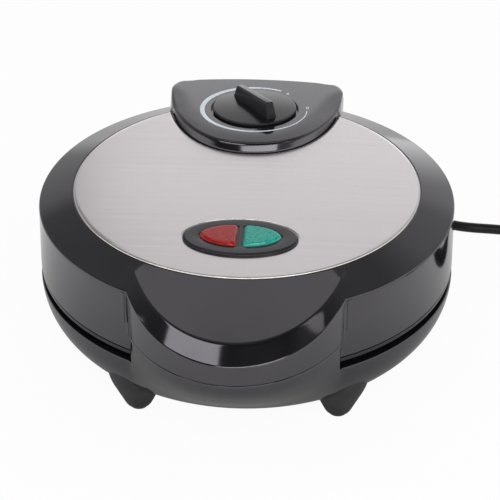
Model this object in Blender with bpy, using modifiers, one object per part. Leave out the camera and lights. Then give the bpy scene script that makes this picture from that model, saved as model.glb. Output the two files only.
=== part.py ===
"""Mini donut maker: a countertop cooker with a hinged lid, built piece by piece.

Metres, +Z up, the table at z = 0. +X is the user's right and -Y the front.
Round pieces turn about one upright body axis. The lid turns about the hinge
pins at the back, and the dial turns about the axis of the sloping housing.
"""
import math

import bmesh
import bpy
from mathutils import Matrix, Vector

# Fits shared by all pieces
GAP = 0.0003
OVERRUN = 0.003
WALL = 0.0025
MERGE = 0.00001
SHARP_ANGLE = math.radians(32)

# Lid ring, skirt and steel panel
CREASE_Z = 0.088
RING_R = 0.115
RING_W = 0.0194
PANEL_RISE = 0.0075
PANEL_THICK = 0.0009
PANEL_PROUD = 0.0003
PANEL_DOME = 0.0010
PANEL_GROOVE = 0.0007
PANEL_SHARES = (0.0, 0.5, 0.8, 1.0)
SKIRT_H = 0.0352
SKIRT_DRAFT = 0.0007

# Front handle: an ellipse in plan, set ahead of the body axis
HANDLE_PROUD = 0.0283
HANDLE_HALF_W = 0.0643
HANDLE_HALF_D = 0.0833
HANDLE_BEVEL_W = 0.0066
HANDLE_BEVEL_D = 0.0090
HANDLE_DROP = 0.0037
HANDLE_DROP_EASE = 0.0060
HANDLE_FACE_H = 0.0255
PARTING_GAP = 0.0008

# Lid frame under the seam, and the gap between the closed halves
SEAM = 0.0008
FRAME_LIP = 0.0022
FRAME_INSET = 0.0003
FRAME_SPIGOT_H = 0.0060
FRAME_SPIGOT_W = 0.0030
MOUTH_GAP = 0.0041

# Base bowl
RIM_PROUD = 0.0009
RIM_LIP = 0.0030
BOWL_DEPTH = 0.0360
BOWL_CURVE_W = 0.0359
BLEND_END_Z = 0.0190
TIP_INSET = 0.0098
HOUSING_END_Z = 0.0200
HOUSING_HALF_ANGLE = math.radians(20.5)
HOUSING_EASE_ANGLE = math.radians(9)

# Hinge
HINGE_SETBACK = 0.0020
HINGE_DROP = 0.0400
LUG_R = 0.0080
LUG_IN = 0.0350
LUG_W = 0.0080
KNUCKLE_CLEAR = 0.0006
PIN_R = 0.0025
PIN_DEPTH = 0.0090
PIN_HEAD_R = 0.0038
PIN_HEAD_H = 0.0012
SWING_CLEAR = 0.0115
STOP_DROP = 0.0110

# Thermostat housing on the lid
HUMP_SETBACK = 0.0016
HUMP_HALF_W = 0.0523
HUMP_HALF_D = 0.0810
HUMP_SQUARENESS = 2.15
HUMP_FRONT_RISE = 0.0145
HUMP_CHAMFER_W = 0.0006
HUMP_CHAMFER_D = 0.0032
HUMP_CHAMFER_H = 0.0057
HUMP_BACK_CHAMFER = 0.0014
HUMP_BACK_R = 0.2350
HUMP_CORNER_W = 0.0050
HUMP_CORNER_D = 0.0090
HUMP_CORNER_FLATTEN = 0.4
CORNER_SHARES = (0.25, 0.5, 0.75)
HUMP_TILT = math.radians(3.55)
APRON_DROP = HINGE_DROP - SWING_CLEAR

# Dial
DIAL_SETBACK = 0.0336
DIAL_R = 0.0245
DIAL_RECESS_GAP = 0.0013
DIAL_RECESS_H = 0.0020
DIAL_RIM_H = 0.0016
DIAL_DOME = 0.0009
DIAL_DOME_SHARES = (0.45, 0.75, 0.93)
GRIP_LENGTH = 0.0400
GRIP_WIDTH = 0.0072
GRIP_TOP_LENGTH = 0.0366
GRIP_TOP_WIDTH = 0.0046
GRIP_H = 0.0100
GRIP_ROUND = 0.0008
GRIP_TURN = math.radians(-60)
SPINDLE_R = 0.0030
SPINDLE_INTO_DIAL = 0.0050
SPINDLE_INTO_STAT = 0.0040
STAT_W = 0.0300
STAT_D = 0.0240
STAT_H = 0.0130
STAT_NECK_R = 0.0060

# Cooking plates with ring moulds
PLATE_SETBACK = 0.0060
PLATE_FLANGE_W = 0.0060
PLATE_THICK = 0.0033
MOULD_COUNT = 6
MOULD_PITCH_R = 0.0620
MOULD_RING_R = 0.0165
MOULD_GROOVE_R = 0.0085
MOULD_WALL = 0.0025
MOULD_BOSS_R = 0.0278
MOULD_BOSS_TAPER = 0.0015

# Heating elements and reflectors
ELEMENT_R = 0.0033
ELEMENT_OPEN = math.radians(24)
ELEMENT_TAIL = 0.0130
REFLECTOR_CLEAR = 0.0004
REFLECTOR_FLARE = 0.0055
REFLECTOR_DEPTH = 0.0165
REFLECTOR_THICK = 0.0008
REFLECTOR_HOLE_R = 0.0048

# Plate screws and their posts
SCREW_EDGE = 0.0055
SCREW_COUNT = 3
SCREW_TURN = math.radians(30)
SCREW_R = 0.0017
SCREW_LENGTH = 0.0160
SCREW_HEAD_R = 0.0034
SCREW_HEAD_H = 0.0018
POST_R = 0.0036
POST_ROOT = 0.0068

# Feet
FOOT_X = 0.0542
FOOT_Y = 0.0785
FOOT_TIP_R = 0.0056
FOOT_SHOULDER_R = 0.0162
FOOT_SHOULDER_Z = 0.0220
FOOT_TOP_R = 0.0170
FOOT_TOP_Z = 0.0345
FOOT_ROUND = 0.0016
PAD_R = 0.0050
PAD_H = 0.0018
PAD_SUNK = 0.0010

# Indicator bezel, lenses and lamps
BEZEL_EDGE = 0.0368
BEZEL_HALF_W = 0.0307
BEZEL_HALF_D = 0.0178
BEZEL_EDGE_H = 0.0005
BEZEL_TOP_H = 0.0014
BEZEL_TOP_INSET = 0.0018
BEZEL_BODY_INSET = 0.0035
BEZEL_BODY_H = 0.0110
LENS_LENGTH = 0.0205
LENS_HALF_D = 0.0101
LENS_DIVIDER = 0.0030
LENS_DEPTH = 0.0045
LENS_PROUD = 0.0016
LENS_FACET = 0.0020
LENS_BOW = 1.25
LAMP_R = 0.0026
LAMP_LENGTH = 0.0110
LAMP_INSET = 0.0020

# Vents and terminal block under the lower reflector
VENT_LENGTH = 0.0260
VENT_WIDTH = 0.0030
VENT_STEP = 0.0090
VENT_ROWS = 5
VENT_OFFSET = 0.0330
BLOCK_W = 0.0360
BLOCK_D = 0.0160
BLOCK_H = 0.0090
BLOCK_Y = 0.0450
BLOCK_SLOT_W = 0.0060
BLOCK_SLOT_STEP = 0.0110
BLOCK_SLOT_H = 0.0050

# Supply cord
CORD_R = 0.00315
GLAND_ANGLE = math.radians(52)
GLAND_Z = 0.0300
GLAND_LENGTH = 0.0300
GLAND_NECK_R = 0.0055
GLAND_TIP_R = 0.0042
GLAND_COLLAR_R = 0.0078
GLAND_COLLAR_H = 0.0020
CORD_ROUTE = (
    (0.0965, 0.1312, 0.0265),
    (0.1020, 0.1326, 0.0185),
    (0.1085, 0.1303, 0.0098),
    (0.1160, 0.1262, 0.0042),
    (0.1240, 0.1226, 0.00345),
    (0.1346, 0.1203, 0.00345),
    (0.1471, 0.1193, 0.00345),
    (0.1570, 0.1184, 0.00345),
    (0.1700, 0.1176, 0.00345),
    (0.1820, 0.1171, 0.00345),
)
COIL_CENTRE = (0.2070, 0.0780)
COIL_OUTER_R = 0.0390
COIL_PITCH = 0.0072
COIL_TURNS = 3.25
COIL_TURN_POINTS = 24
COIL_REVERSAL_TURNS = 0.5
TAIL_ROUTE = (
    (0.2480, 0.0570, 0.0087),
    (0.2471, 0.0480, 0.0060),
    (0.2458, 0.0385, 0.0048),
    (0.2446, 0.0290, 0.0064),
)
PLUG_X = 0.2440
PLUG_Y = 0.0120
PLUG_RELIEF = 0.0240
PLUG_RELIEF_R = 0.0062
PLUG_TIP_R = 0.0045
PLUG_LENGTH = 0.0360
PLUG_HALF_W = 0.0185
PLUG_HALF_H = 0.0085
PLUG_ROUNDNESS = 0.7
PLUG_SHOULDER_SHARES = (0.8, 0.2)
PLUG_WIDEST_SHARE = 0.5
PLUG_NOSE_HALF_W = 0.0165
PLUG_PIN_R = 0.0024
PLUG_PIN_LENGTH = 0.0190
PLUG_PIN_ROOT = 0.0040
PLUG_PIN_HALF_STEP = 0.0095

# Facet counts
RING_STEPS = 54
FRONT_STEPS = 22
SIDE_STEPS = 17
REAR_STEPS = 12
DISH_STEPS = 40
SMALL_STEPS = 16
BACK_STEPS = 6

# Radii and places that follow from the ring
PANEL_R = RING_R - RING_W
HANDLE_CENTRE = RING_R + HANDLE_PROUD - HANDLE_HALF_D
RIM_R = RING_R + RIM_PROUD
BOWL_FLAT_R = RIM_R - BOWL_CURVE_W
TIP_CUT_W = HANDLE_HALF_W - TIP_INSET
HINGE_Y = RING_R + HINGE_SETBACK
HUMP_CENTRE = RING_R - HUMP_SETBACK
DIAL_Y = HUMP_CENTRE - DIAL_SETBACK
PLATE_FLANGE_R = RING_R - PLATE_SETBACK
PLATE_BODY_R = PLATE_FLANGE_R - PLATE_FLANGE_W
SCREW_PITCH_R = PLATE_BODY_R - SCREW_EDGE
REFLECTOR_R = SCREW_PITCH_R - POST_R - REFLECTOR_CLEAR
REFLECTOR_FLOOR_R = REFLECTOR_R - REFLECTOR_FLARE
ELEMENT_RING_R = MOULD_PITCH_R
BEZEL_Y = BEZEL_EDGE - PANEL_R

# Heights and places that follow from the sizes above
REAR_REACH = HINGE_Y + LUG_R
AXIS_Y = (HANDLE_CENTRE + HANDLE_HALF_D - REAR_REACH) / 2
RISE_PER_R = PANEL_RISE / (RING_R - PANEL_R)
RECESS_Z = CREASE_Z + PANEL_RISE + PANEL_PROUD - PANEL_THICK - GAP
CEILING_Z = RECESS_Z - WALL
SKIRT_Z = CREASE_Z - SKIRT_H
SKIRT_INNER_R = RING_R - WALL
FRAME_Z = SKIRT_Z - SEAM - FRAME_LIP
RIM_Z = FRAME_Z - MOUTH_GAP
CLOSE_Z = (FRAME_Z + RIM_Z) / 2
BOWL_Z = RIM_Z - BOWL_DEPTH
PARTING_Z = CREASE_Z - HANDLE_FACE_H
HINGE_Z = CREASE_Z - HINGE_DROP
HUMP_FRONT_Y = HUMP_CENTRE - HUMP_HALF_D
HUMP_TOP_FRONT_Y = HUMP_FRONT_Y + HUMP_CHAMFER_D
LIP_R = PLATE_BODY_R + 4 * GAP
PLATE_FACE = GAP / 2
PLATE_SEAT = MOUTH_GAP / 2 - GAP
PLATE_BACK = PLATE_FACE + PLATE_THICK
BOSS_BACK = PLATE_FACE + MOULD_GROOVE_R + MOULD_WALL
ELEMENT_BACK = BOSS_BACK + GAP + ELEMENT_R
REFLECTOR_BACK = PLATE_BACK + GAP + REFLECTOR_DEPTH


def ring_slope_z(radius):
    """Height of the lid's sloping ring, which the handle's top face carries on."""
    return CREASE_Z + (RING_R - radius) * RISE_PER_R


def hump_z(y):
    """Height of the housing's top face, which falls towards the back."""
    return CREASE_Z + HUMP_FRONT_RISE - (y - HUMP_TOP_FRONT_Y) * math.tan(HUMP_TILT)


# Scene, collections and materials

def clear_scene():
    for thing in list(bpy.data.objects):
        bpy.data.objects.remove(thing, do_unlink=True)
    for mesh in list(bpy.data.meshes):
        bpy.data.meshes.remove(mesh)


def make_collection(name):
    collection = bpy.data.collections.new(name)
    bpy.context.scene.collection.children.link(collection)
    return collection


def make_material(name, colour, roughness, metallic=0.0):
    material = bpy.data.materials.new(name)
    material.use_nodes = True
    shader = material.node_tree.nodes["Principled BSDF"]
    shader.inputs["Base Color"].default_value = (*colour, 1.0)
    shader.inputs["Roughness"].default_value = roughness
    shader.inputs["Metallic"].default_value = metallic
    material.diffuse_color = (*colour, 1.0)
    return material


clear_scene()
PARTS = make_collection("mini_donut_maker")
CUTTERS = make_collection("cutters")
FINISHES = {
    "gloss_black": make_material("gloss_black", (0.022, 0.021, 0.024), 0.22),
    "satin_black": make_material("satin_black", (0.030, 0.029, 0.031), 0.45),
    "steel": make_material("steel", (0.62, 0.60, 0.58), 0.30, 1.0),
    "nonstick": make_material("nonstick", (0.045, 0.045, 0.048), 0.42, 0.3),
    "bright_metal": make_material("bright_metal", (0.66, 0.66, 0.67), 0.32, 1.0),
    "element_metal": make_material("element_metal", (0.33, 0.31, 0.29), 0.45, 1.0),
    "aluminium": make_material("aluminium", (0.76, 0.77, 0.78), 0.38, 1.0),
    "rubber": make_material("rubber", (0.018, 0.018, 0.019), 0.75),
    "red_lens": make_material("red_lens", (0.62, 0.030, 0.028), 0.16),
    "green_lens": make_material("green_lens", (0.010, 0.34, 0.27), 0.16),
    "glass": make_material("glass", (0.82, 0.80, 0.76), 0.08),
    "ceramic": make_material("ceramic", (0.80, 0.78, 0.72), 0.55),
}


# Mesh helpers

def add_mesh(name, bm, collection):
    """Turn a bmesh into an object of one of the two collections."""
    mesh = bpy.data.meshes.new(name)
    bm.to_mesh(mesh)
    bm.free()
    thing = bpy.data.objects.new(name, mesh)
    collection.objects.link(thing)
    return thing


def as_cutter(thing):
    thing.hide_render = True
    thing.display_type = "WIRE"
    return thing


def as_part(thing, finish):
    """Give a finished piece its material and smooth shading."""
    thing.data.materials.clear()
    thing.data.materials.append(FINISHES[finish])
    thing.data.shade_smooth()
    thing.data.set_sharp_from_angle(angle=SHARP_ANGLE)
    return thing


def boolean(thing, tool, operation):
    """Cut, join or intersect one solid with another."""
    modifier = thing.modifiers.new(operation.lower(), "BOOLEAN")
    modifier.operation = operation
    modifier.solver = "EXACT"
    modifier.object = as_cutter(tool)
    return thing


def cut(thing, *tools):
    for tool in tools:
        boolean(thing, tool, "DIFFERENCE")
    return thing


def join(thing, *tools):
    for tool in tools:
        boolean(thing, tool, "UNION")
    return thing


def on_axis(thing, z=0.0):
    thing.location = (0.0, AXIS_Y, z)
    return thing


def turned(name, profile, collection=PARTS, steps=RING_STEPS):
    """Turn a profile of (radius, height) points about Z with a Screw modifier.

    A profile that starts and ends on the axis is closed by it, and any other
    is a closed loop. The profile is put in the order that faces it outwards.
    """
    points = list(profile)
    loop = points[0][0] > MERGE or points[-1][0] > MERGE
    area = sum(a[0] * b[1] - b[0] * a[1] for a, b in zip(points, points[1:] + points[:1]))
    if area > 0:
        points.reverse()
    bm = bmesh.new()
    verts = [bm.verts.new((radius, 0.0, z)) for radius, z in points]
    for start, end in zip(verts, verts[1:]):
        bm.edges.new((start, end))
    if loop:
        bm.edges.new((verts[-1], verts[0]))
    thing = add_mesh(name, bm, collection)
    screw = thing.modifiers.new("turn", "SCREW")
    screw.steps = steps
    screw.render_steps = steps
    screw.use_merge_vertices = True
    screw.merge_threshold = MERGE
    screw.use_smooth_shade = True
    return thing


def lofted(name, rings, collection=PARTS):
    """Skin a stack of unlike closed outlines that have as many points each."""
    bm = bmesh.new()
    rows = [[bm.verts.new(point) for point in ring] for ring in rings]
    count = len(rows[0])
    for upper, lower in zip(rows, rows[1:]):
        for index in range(count):
            after = (index + 1) % count
            bm.faces.new((upper[index], lower[index], lower[after], upper[after]))
    bm.faces.new(rows[0])
    bm.faces.new(list(reversed(rows[-1])))
    bmesh.ops.remove_doubles(bm, verts=bm.verts, dist=MERGE)
    bmesh.ops.dissolve_degenerate(bm, edges=bm.edges, dist=MERGE)
    bmesh.ops.recalc_face_normals(bm, faces=bm.faces)
    return add_mesh(name, bm, collection)


def curve_to_mesh(thing, collection):
    """Replace a curve object by the closed mesh that it draws."""
    bpy.context.view_layer.update()
    evaluated = thing.evaluated_get(bpy.context.evaluated_depsgraph_get())
    mesh = bpy.data.meshes.new_from_object(evaluated)
    bm = bmesh.new()
    bm.from_mesh(mesh)
    bmesh.ops.remove_doubles(bm, verts=bm.verts, dist=MERGE)
    bmesh.ops.recalc_face_normals(bm, faces=bm.faces)
    bm.to_mesh(mesh)
    bm.free()
    solid = bpy.data.objects.new(thing.name, mesh)
    solid.matrix_world = thing.matrix_world.copy()
    name = thing.name
    bpy.data.objects.remove(thing, do_unlink=True)
    solid.name = name
    collection.objects.link(solid)
    return solid


def slab(name, outline, low, high, collection=CUTTERS):
    """A flat outline of (x, y) points made solid between two heights."""
    data = bpy.data.curves.new(name, "CURVE")
    data.dimensions = "2D"
    data.fill_mode = "BOTH"
    data.extrude = (high - low) / 2
    spline = data.splines.new("POLY")
    spline.points.add(len(outline) - 1)
    for point, (x, y) in zip(spline.points, outline):
        point.co = (x, y, 0.0, 1.0)
    spline.use_cyclic_u = True
    thing = bpy.data.objects.new(name, data)
    thing.location = (0.0, 0.0, (low + high) / 2)
    collection.objects.link(thing)
    return curve_to_mesh(thing, collection)


def sideways_slab(name, outline, left, right, collection=CUTTERS):
    """A flat outline of (y, z) points made solid between two values of x."""
    thing = slab(name, outline, left, right, collection)
    stand = Matrix(((0, 0, 1), (1, 0, 0), (0, 1, 0))).to_4x4()
    thing.data.transform(stand @ thing.matrix_world)
    thing.matrix_world = Matrix()
    return thing


def box(name, low, high, collection=CUTTERS):
    bm = bmesh.new()
    bmesh.ops.create_cube(bm, size=1.0)
    for vert in bm.verts:
        for axis in range(3):
            vert.co[axis] = high[axis] if vert.co[axis] > 0 else low[axis]
    return add_mesh(name, bm, collection)


def rod(name, start, end, radius, collection=CUTTERS, steps=SMALL_STEPS, end_radius=None):
    """A cylinder or cone from one point to another."""
    start = Vector(start)
    end = Vector(end)
    bm = bmesh.new()
    bmesh.ops.create_cone(
        bm, cap_ends=True, segments=steps, radius1=radius,
        radius2=radius if end_radius is None else end_radius, depth=(end - start).length)
    turn = Vector((0, 0, 1)).rotation_difference(end - start).to_matrix().to_4x4()
    bm.transform(Matrix.Translation((start + end) / 2) @ turn)
    return add_mesh(name, bm, collection)


def tube(name, points, radius, collection=PARTS, resolution=2):
    """A round tube along points, as a curve with filled caps."""
    data = bpy.data.curves.new(name, "CURVE")
    data.dimensions = "3D"
    data.bevel_depth = radius
    data.bevel_resolution = resolution
    data.use_fill_caps = True
    spline = data.splines.new("POLY")
    spline.points.add(len(points) - 1)
    for point, place in zip(spline.points, points):
        point.co = (*place, 1.0)
    thing = bpy.data.objects.new(name, data)
    collection.objects.link(thing)
    return thing


def merged(name, pieces, collection=CUTTERS):
    """One cutter that holds several solids that stay apart."""
    bm = bmesh.new()
    for piece in pieces:
        piece.data.transform(piece.matrix_basis)
        bm.from_mesh(piece.data)
        bpy.data.objects.remove(piece, do_unlink=True)
    return add_mesh(name, bm, collection)


# Outlines

def around(radius, count, turn=0.0):
    """Places spread evenly on a circle about the body axis."""
    angles = [turn + index * math.tau / count for index in range(count)]
    return [(radius * math.cos(angle), AXIS_Y + radius * math.sin(angle)) for angle in angles]


def ellipse(half_w, half_d, y=0.0, steps=40):
    angles = [index * math.tau / steps for index in range(steps)]
    return [(half_w * math.cos(angle), AXIS_Y + y + half_d * math.sin(angle)) for angle in angles]


def circle_crossing(half_w, half_d, centre_y, radius):
    """Angle from the front at which an ellipse on the y axis crosses a body circle."""
    square = 1 / half_d ** 2 - 1 / half_w ** 2
    linear = -2 * centre_y / half_d ** 2
    constant = (radius / half_w) ** 2 + (centre_y / half_d) ** 2 - 1
    root = math.sqrt(linear ** 2 - 4 * square * constant)
    crossings = [(-linear + sign * root) / (2 * square) for sign in (1, -1)]
    y = min((value for value in crossings if abs(value) < radius), key=lambda v: abs(v - centre_y))
    return math.acos(-y / radius)


def ellipse_reach(angle, half_w, half_d):
    """Distance from the body axis to the handle's ellipse, at an angle from the front."""
    across = math.sin(angle) / half_w
    along = math.cos(angle) / half_d
    offset = HANDLE_CENTRE / half_d
    a = across ** 2 + along ** 2
    b = -2 * along * offset
    c = offset ** 2 - 1
    return (-b + math.sqrt(b ** 2 - 4 * a * c)) / (2 * a)


def smooth(value):
    value = min(max(value, 0.0), 1.0)
    return value * value * (3 - 2 * value)


def body_angles(corner):
    """Angles from the front, closer together over the handle and the hinge housing."""
    rear = HOUSING_HALF_ANGLE + HOUSING_EASE_ANGLE
    stops = (-corner, corner, math.pi - rear, math.pi + rear, math.tau - corner)
    counts = (FRONT_STEPS, SIDE_STEPS, REAR_STEPS, SIDE_STEPS)
    return [
        start + (end - start) * index / count
        for start, end, count in zip(stops, stops[1:], counts) for index in range(count)]


def off_front(angle):
    """The same angle brought to between minus and plus half a turn."""
    return math.remainder(angle, math.tau)


def at_angle(angle, radius, z):
    return (radius * math.sin(angle), AXIS_Y - radius * math.cos(angle), z)


# Lid shell: ring, skirt, handle and thermostat housing in one moulding

def handle_reach(angle, corner, inset_w=0.0, inset_d=0.0):
    if abs(off_front(angle)) > corner:
        angle = corner
    return ellipse_reach(angle, HANDLE_HALF_W - inset_w, HANDLE_HALF_D - inset_d)


def lid_section(angle, corner):
    """The lid's outer section at one angle: ring, bevel, wall, underside and skirt."""
    knee = handle_reach(angle, corner, HANDLE_BEVEL_W, HANDLE_BEVEL_D)
    edge = max(handle_reach(angle, corner), RING_R)
    drop = HANDLE_DROP * smooth((edge - RING_R) / HANDLE_DROP_EASE)
    parting_r = RING_R + SKIRT_DRAFT * HANDLE_FACE_H / SKIRT_H
    return (
        (PANEL_R, CREASE_Z + PANEL_RISE),
        (knee, ring_slope_z(knee)),
        (edge, ring_slope_z(edge) - drop),
        (max(edge, parting_r), PARTING_Z),
        (parting_r, PARTING_Z),
        (RING_R + SKIRT_DRAFT, SKIRT_Z),
    )


def lid_outer():
    corner = circle_crossing(HANDLE_HALF_W, HANDLE_HALF_D, -HANDLE_CENTRE, RING_R)
    angles = body_angles(corner)
    sections = [lid_section(angle, corner) for angle in angles]
    rings = [
        [at_angle(angle, *section[row]) for angle, section in zip(angles, sections)]
        for row in range(len(sections[0]))]
    return lofted("lid_shell", rings)


def hump_front(half_w, half_d, turn):
    """A point on the housing's squared front ellipse, at an angle from the front."""
    power = 2 / HUMP_SQUARENESS
    x = math.copysign(half_w * abs(math.sin(turn)) ** power, turn)
    return Vector((x, AXIS_Y + HUMP_CENTRE - half_d * math.cos(turn) ** power))


def hump_outline(inset_w=0.0, inset_d=0.0, inset_back=0.0, steps=14):
    """Plan of the housing: a squared front ellipse, cut corners and a bowed back."""
    half_w = HUMP_HALF_W - inset_w
    half_d = HUMP_HALF_D - inset_d
    back = AXIS_Y + REAR_REACH - inset_back

    def back_point(x):
        return Vector((x, back - HUMP_BACK_R + math.sqrt(HUMP_BACK_R ** 2 - x ** 2)))

    reach = back_point(half_w)
    share = (AXIS_Y + HUMP_CENTRE - reach.y + HUMP_CORNER_D) / half_d
    limit = math.acos(share ** (HUMP_SQUARENESS / 2))
    front = [hump_front(half_w, half_d, limit * index / steps) for index in range(-steps, steps + 1)]
    end = half_w - HUMP_CORNER_W
    rear = [back_point(end * (1 - 2 * index / BACK_STEPS)) for index in range(BACK_STEPS + 1)]
    right = rounded_corner(front[-1], reach, rear[0])
    left = rounded_corner(rear[-1], Vector((-reach.x, reach.y)), front[0])
    return [tuple(point) for point in front + right + rear + left]


def rounded_corner(start, corner, end):
    """Points of a flattened curve that leaves one point for a corner and turns to the next."""
    middle = (start + end) / 2
    pull = corner.lerp(middle, HUMP_CORNER_FLATTEN)
    return [start.lerp(pull, t).lerp(pull.lerp(end, t), t) for t in CORNER_SHARES]


def hump_block():
    """The housing's solid: chamfered top over a wall that runs down behind the skirt."""
    top = hump_outline(HUMP_CHAMFER_W, HUMP_CHAMFER_D, HUMP_BACK_CHAMFER)
    wall = hump_outline()
    low = CREASE_Z - APRON_DROP
    rings = [
        [(x, y, hump_z(y - AXIS_Y)) for x, y in top],
        [(x, y, hump_z(y - AXIS_Y) - HUMP_CHAMFER_H) for x, y in wall],
        [(x, y, low) for x, y in wall]]
    return lofted("housing_block", rings, CUTTERS)


def hump_hollow():
    """Room for the thermostat inside the housing, open to the lid's inside."""
    inset_w = HUMP_CHAMFER_W + WALL
    inset_d = HUMP_CHAMFER_D + WALL
    outline = hump_outline(inset_w, inset_d, REAR_REACH - SKIRT_INNER_R + HUMP_BACK_CHAMFER)
    rings = [
        [(x, y, hump_z(y - AXIS_Y) - WALL) for x, y in outline],
        [(x, y, CEILING_Z - OVERRUN) for x, y in outline]]
    return lofted("housing_hollow", rings, CUTTERS)


def lid_hollow():
    profile = (
        (0.0, CEILING_Z),
        (PANEL_R - WALL, CEILING_Z),
        (SKIRT_INNER_R, ring_slope_z(SKIRT_INNER_R) - WALL),
        (SKIRT_INNER_R, SKIRT_Z - OVERRUN),
        (0.0, SKIRT_Z - OVERRUN))
    return on_axis(turned("lid_hollow", profile, CUTTERS))


def knuckle():
    """The lid's hinge knuckle: a web down from the housing, round about the pins."""
    centre_y = AXIS_Y + HINGE_Y
    steps = 12
    outline = []
    for index in range(steps + 1):
        turn = math.pi + math.pi * index / steps
        outline.append((centre_y + LUG_R * math.cos(turn), HINGE_Z + LUG_R * math.sin(turn)))
    top = CREASE_Z - APRON_DROP + WALL
    outline += [(centre_y + LUG_R, top), (centre_y - LUG_R, top)]
    half = LUG_IN - KNUCKLE_CLEAR
    return sideways_slab("knuckle", outline, -half, half)


def lug_rooms():
    """Room in the lid's skirt round the two lugs that stay with the base."""
    y = AXIS_Y + HINGE_Y
    inner = LUG_IN - KNUCKLE_CLEAR
    outer = LUG_IN + LUG_W + PIN_HEAD_H + KNUCKLE_CLEAR
    radius = LUG_R + KNUCKLE_CLEAR
    return [
        rod("lug_room", (side * inner, y, HINGE_Z), (side * outer, y, HINGE_Z), radius, steps=48)
        for side in (1, -1)]


def dial_frame():
    """Place and slope of the dial's axis, where it meets the housing's top face."""
    place = Matrix.Translation((0.0, AXIS_Y + DIAL_Y, hump_z(DIAL_Y)))
    return place @ Matrix.Rotation(-HUMP_TILT, 4, "X")


def tilted_rod(name, low, high, radius, collection=CUTTERS, steps=RING_STEPS):
    thing = rod(name, (0, 0, low), (0, 0, high), radius, collection, steps)
    thing.data.transform(dial_frame())
    return thing


def pin_rods(name, radius, inner, outer):
    """A pair of cross holes on the hinge axis."""
    y = AXIS_Y + HINGE_Y
    rods = [
        rod(name, (side * inner, y, HINGE_Z), (side * outer, y, HINGE_Z), radius)
        for side in (1, -1)]
    return merged(name, rods)


def posts(name, root, tip):
    rods = [
        rod(name, (x, y, root), (x, y, tip), POST_R)
        for x, y in around(SCREW_PITCH_R, SCREW_COUNT, SCREW_TURN)]
    return merged(name, rods)


def screw_holes(name, low, high):
    rods = [
        rod(name, (x, y, low), (x, y, high), SCREW_R + GAP, steps=12)
        for x, y in around(SCREW_PITCH_R, SCREW_COUNT, SCREW_TURN)]
    return merged(name, rods)


def lid_shell():
    lid = lid_outer()
    recess_r = PANEL_R + PANEL_GROOVE
    recess = on_axis(turned("panel_recess", (
        (0.0, CREASE_Z + PANEL_RISE + OVERRUN),
        (recess_r, CREASE_Z + PANEL_RISE + OVERRUN),
        (recess_r, RECESS_Z),
        (0.0, RECESS_Z)), CUTTERS))
    cut(lid, recess)
    join(lid, hump_block())
    cut(lid, lid_hollow(), hump_hollow(), *lug_rooms())
    join(lid, knuckle())
    join(lid, posts("lid_posts", CEILING_Z + GAP, CLOSE_Z + PLATE_BACK + GAP))
    cut(lid, screw_holes("lid_screw_holes", CLOSE_Z, CLOSE_Z + SCREW_LENGTH + OVERRUN))
    cut(lid, tilted_rod("dial_recess", -DIAL_RECESS_H, OVERRUN, DIAL_R + DIAL_RECESS_GAP))
    cut(lid, tilted_rod("spindle_bore", -WALL - OVERRUN, 0.0, STAT_NECK_R + GAP))
    body_w = BEZEL_HALF_W - BEZEL_BODY_INSET + GAP
    body_d = BEZEL_HALF_D - BEZEL_BODY_INSET + GAP
    window = ellipse(body_w, body_d, BEZEL_Y)
    cut(lid, slab("bezel_window", window, CEILING_Z - OVERRUN, RECESS_Z + OVERRUN))
    cut(lid, pin_rods("lid_pin_holes", PIN_R + GAP, LUG_IN - PIN_DEPTH, LUG_IN + OVERRUN))
    return as_part(lid, "gloss_black")


def top_panel():
    """Thin domed steel disc with the housing and the bezel cut out of it."""
    edge = CREASE_Z + PANEL_RISE + PANEL_PROUD
    top = [(PANEL_R * share, edge + PANEL_DOME * (1 - share ** 2)) for share in PANEL_SHARES]
    under = [(radius, z - PANEL_THICK) for radius, z in reversed(top)]
    panel = on_axis(turned("top_panel", top + under))
    outline = hump_outline(-PANEL_GROOVE, -PANEL_GROOVE)
    low = RECESS_Z - OVERRUN
    high = edge + PANEL_DOME + OVERRUN
    cut(panel, slab("panel_housing_cut", outline, low, high))
    body_w = BEZEL_HALF_W - BEZEL_BODY_INSET + GAP
    body_d = BEZEL_HALF_D - BEZEL_BODY_INSET + GAP
    cut(panel, slab("panel_bezel_cut", ellipse(body_w, body_d, BEZEL_Y), low, high))
    return as_part(panel, "steel")


def lid_frame():
    """Inner ring under the skirt, with a spigot that centres it in the lid."""
    outer = RING_R + SKIRT_DRAFT - FRAME_INSET
    spigot = SKIRT_INNER_R - GAP
    top = SKIRT_Z - SEAM
    profile = (
        (outer, top),
        (outer, FRAME_Z),
        (LIP_R, FRAME_Z),
        (LIP_R, top),
        (spigot - FRAME_SPIGOT_W, top),
        (spigot - FRAME_SPIGOT_W, top + FRAME_SPIGOT_H),
        (spigot, top + FRAME_SPIGOT_H),
        (spigot, top))
    frame = on_axis(turned("lid_frame", profile))
    half = LUG_IN + LUG_W + PIN_HEAD_H + KNUCKLE_CLEAR
    front = AXIS_Y + HINGE_Y - LUG_R - KNUCKLE_CLEAR
    back = AXIS_Y + REAR_REACH
    notch = box("frame_notch", (-half, front, FRAME_Z - OVERRUN), (half, back, CREASE_Z))
    cut(frame, notch)
    return as_part(frame, "satin_black")


# Base shell: bowl, lower half of the handle and hinge lugs in one moulding

def rear_bulge(angle, z):
    """How far the flat-backed hinge housing stands out, at an angle from the front."""
    off_back = math.pi - abs(off_front(angle))
    wide = smooth((HOUSING_HALF_ANGLE + HOUSING_EASE_ANGLE - off_back) / HOUSING_EASE_ANGLE)
    down = min(max((RIM_Z - z) / (RIM_Z - HOUSING_END_Z), 0.0), 1.0)
    flat_back = REAR_REACH / math.cos(min(off_back, HOUSING_HALF_ANGLE))
    return (flat_back - RIM_R) * wide * math.cos(down * math.pi / 2) ** 2


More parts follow.
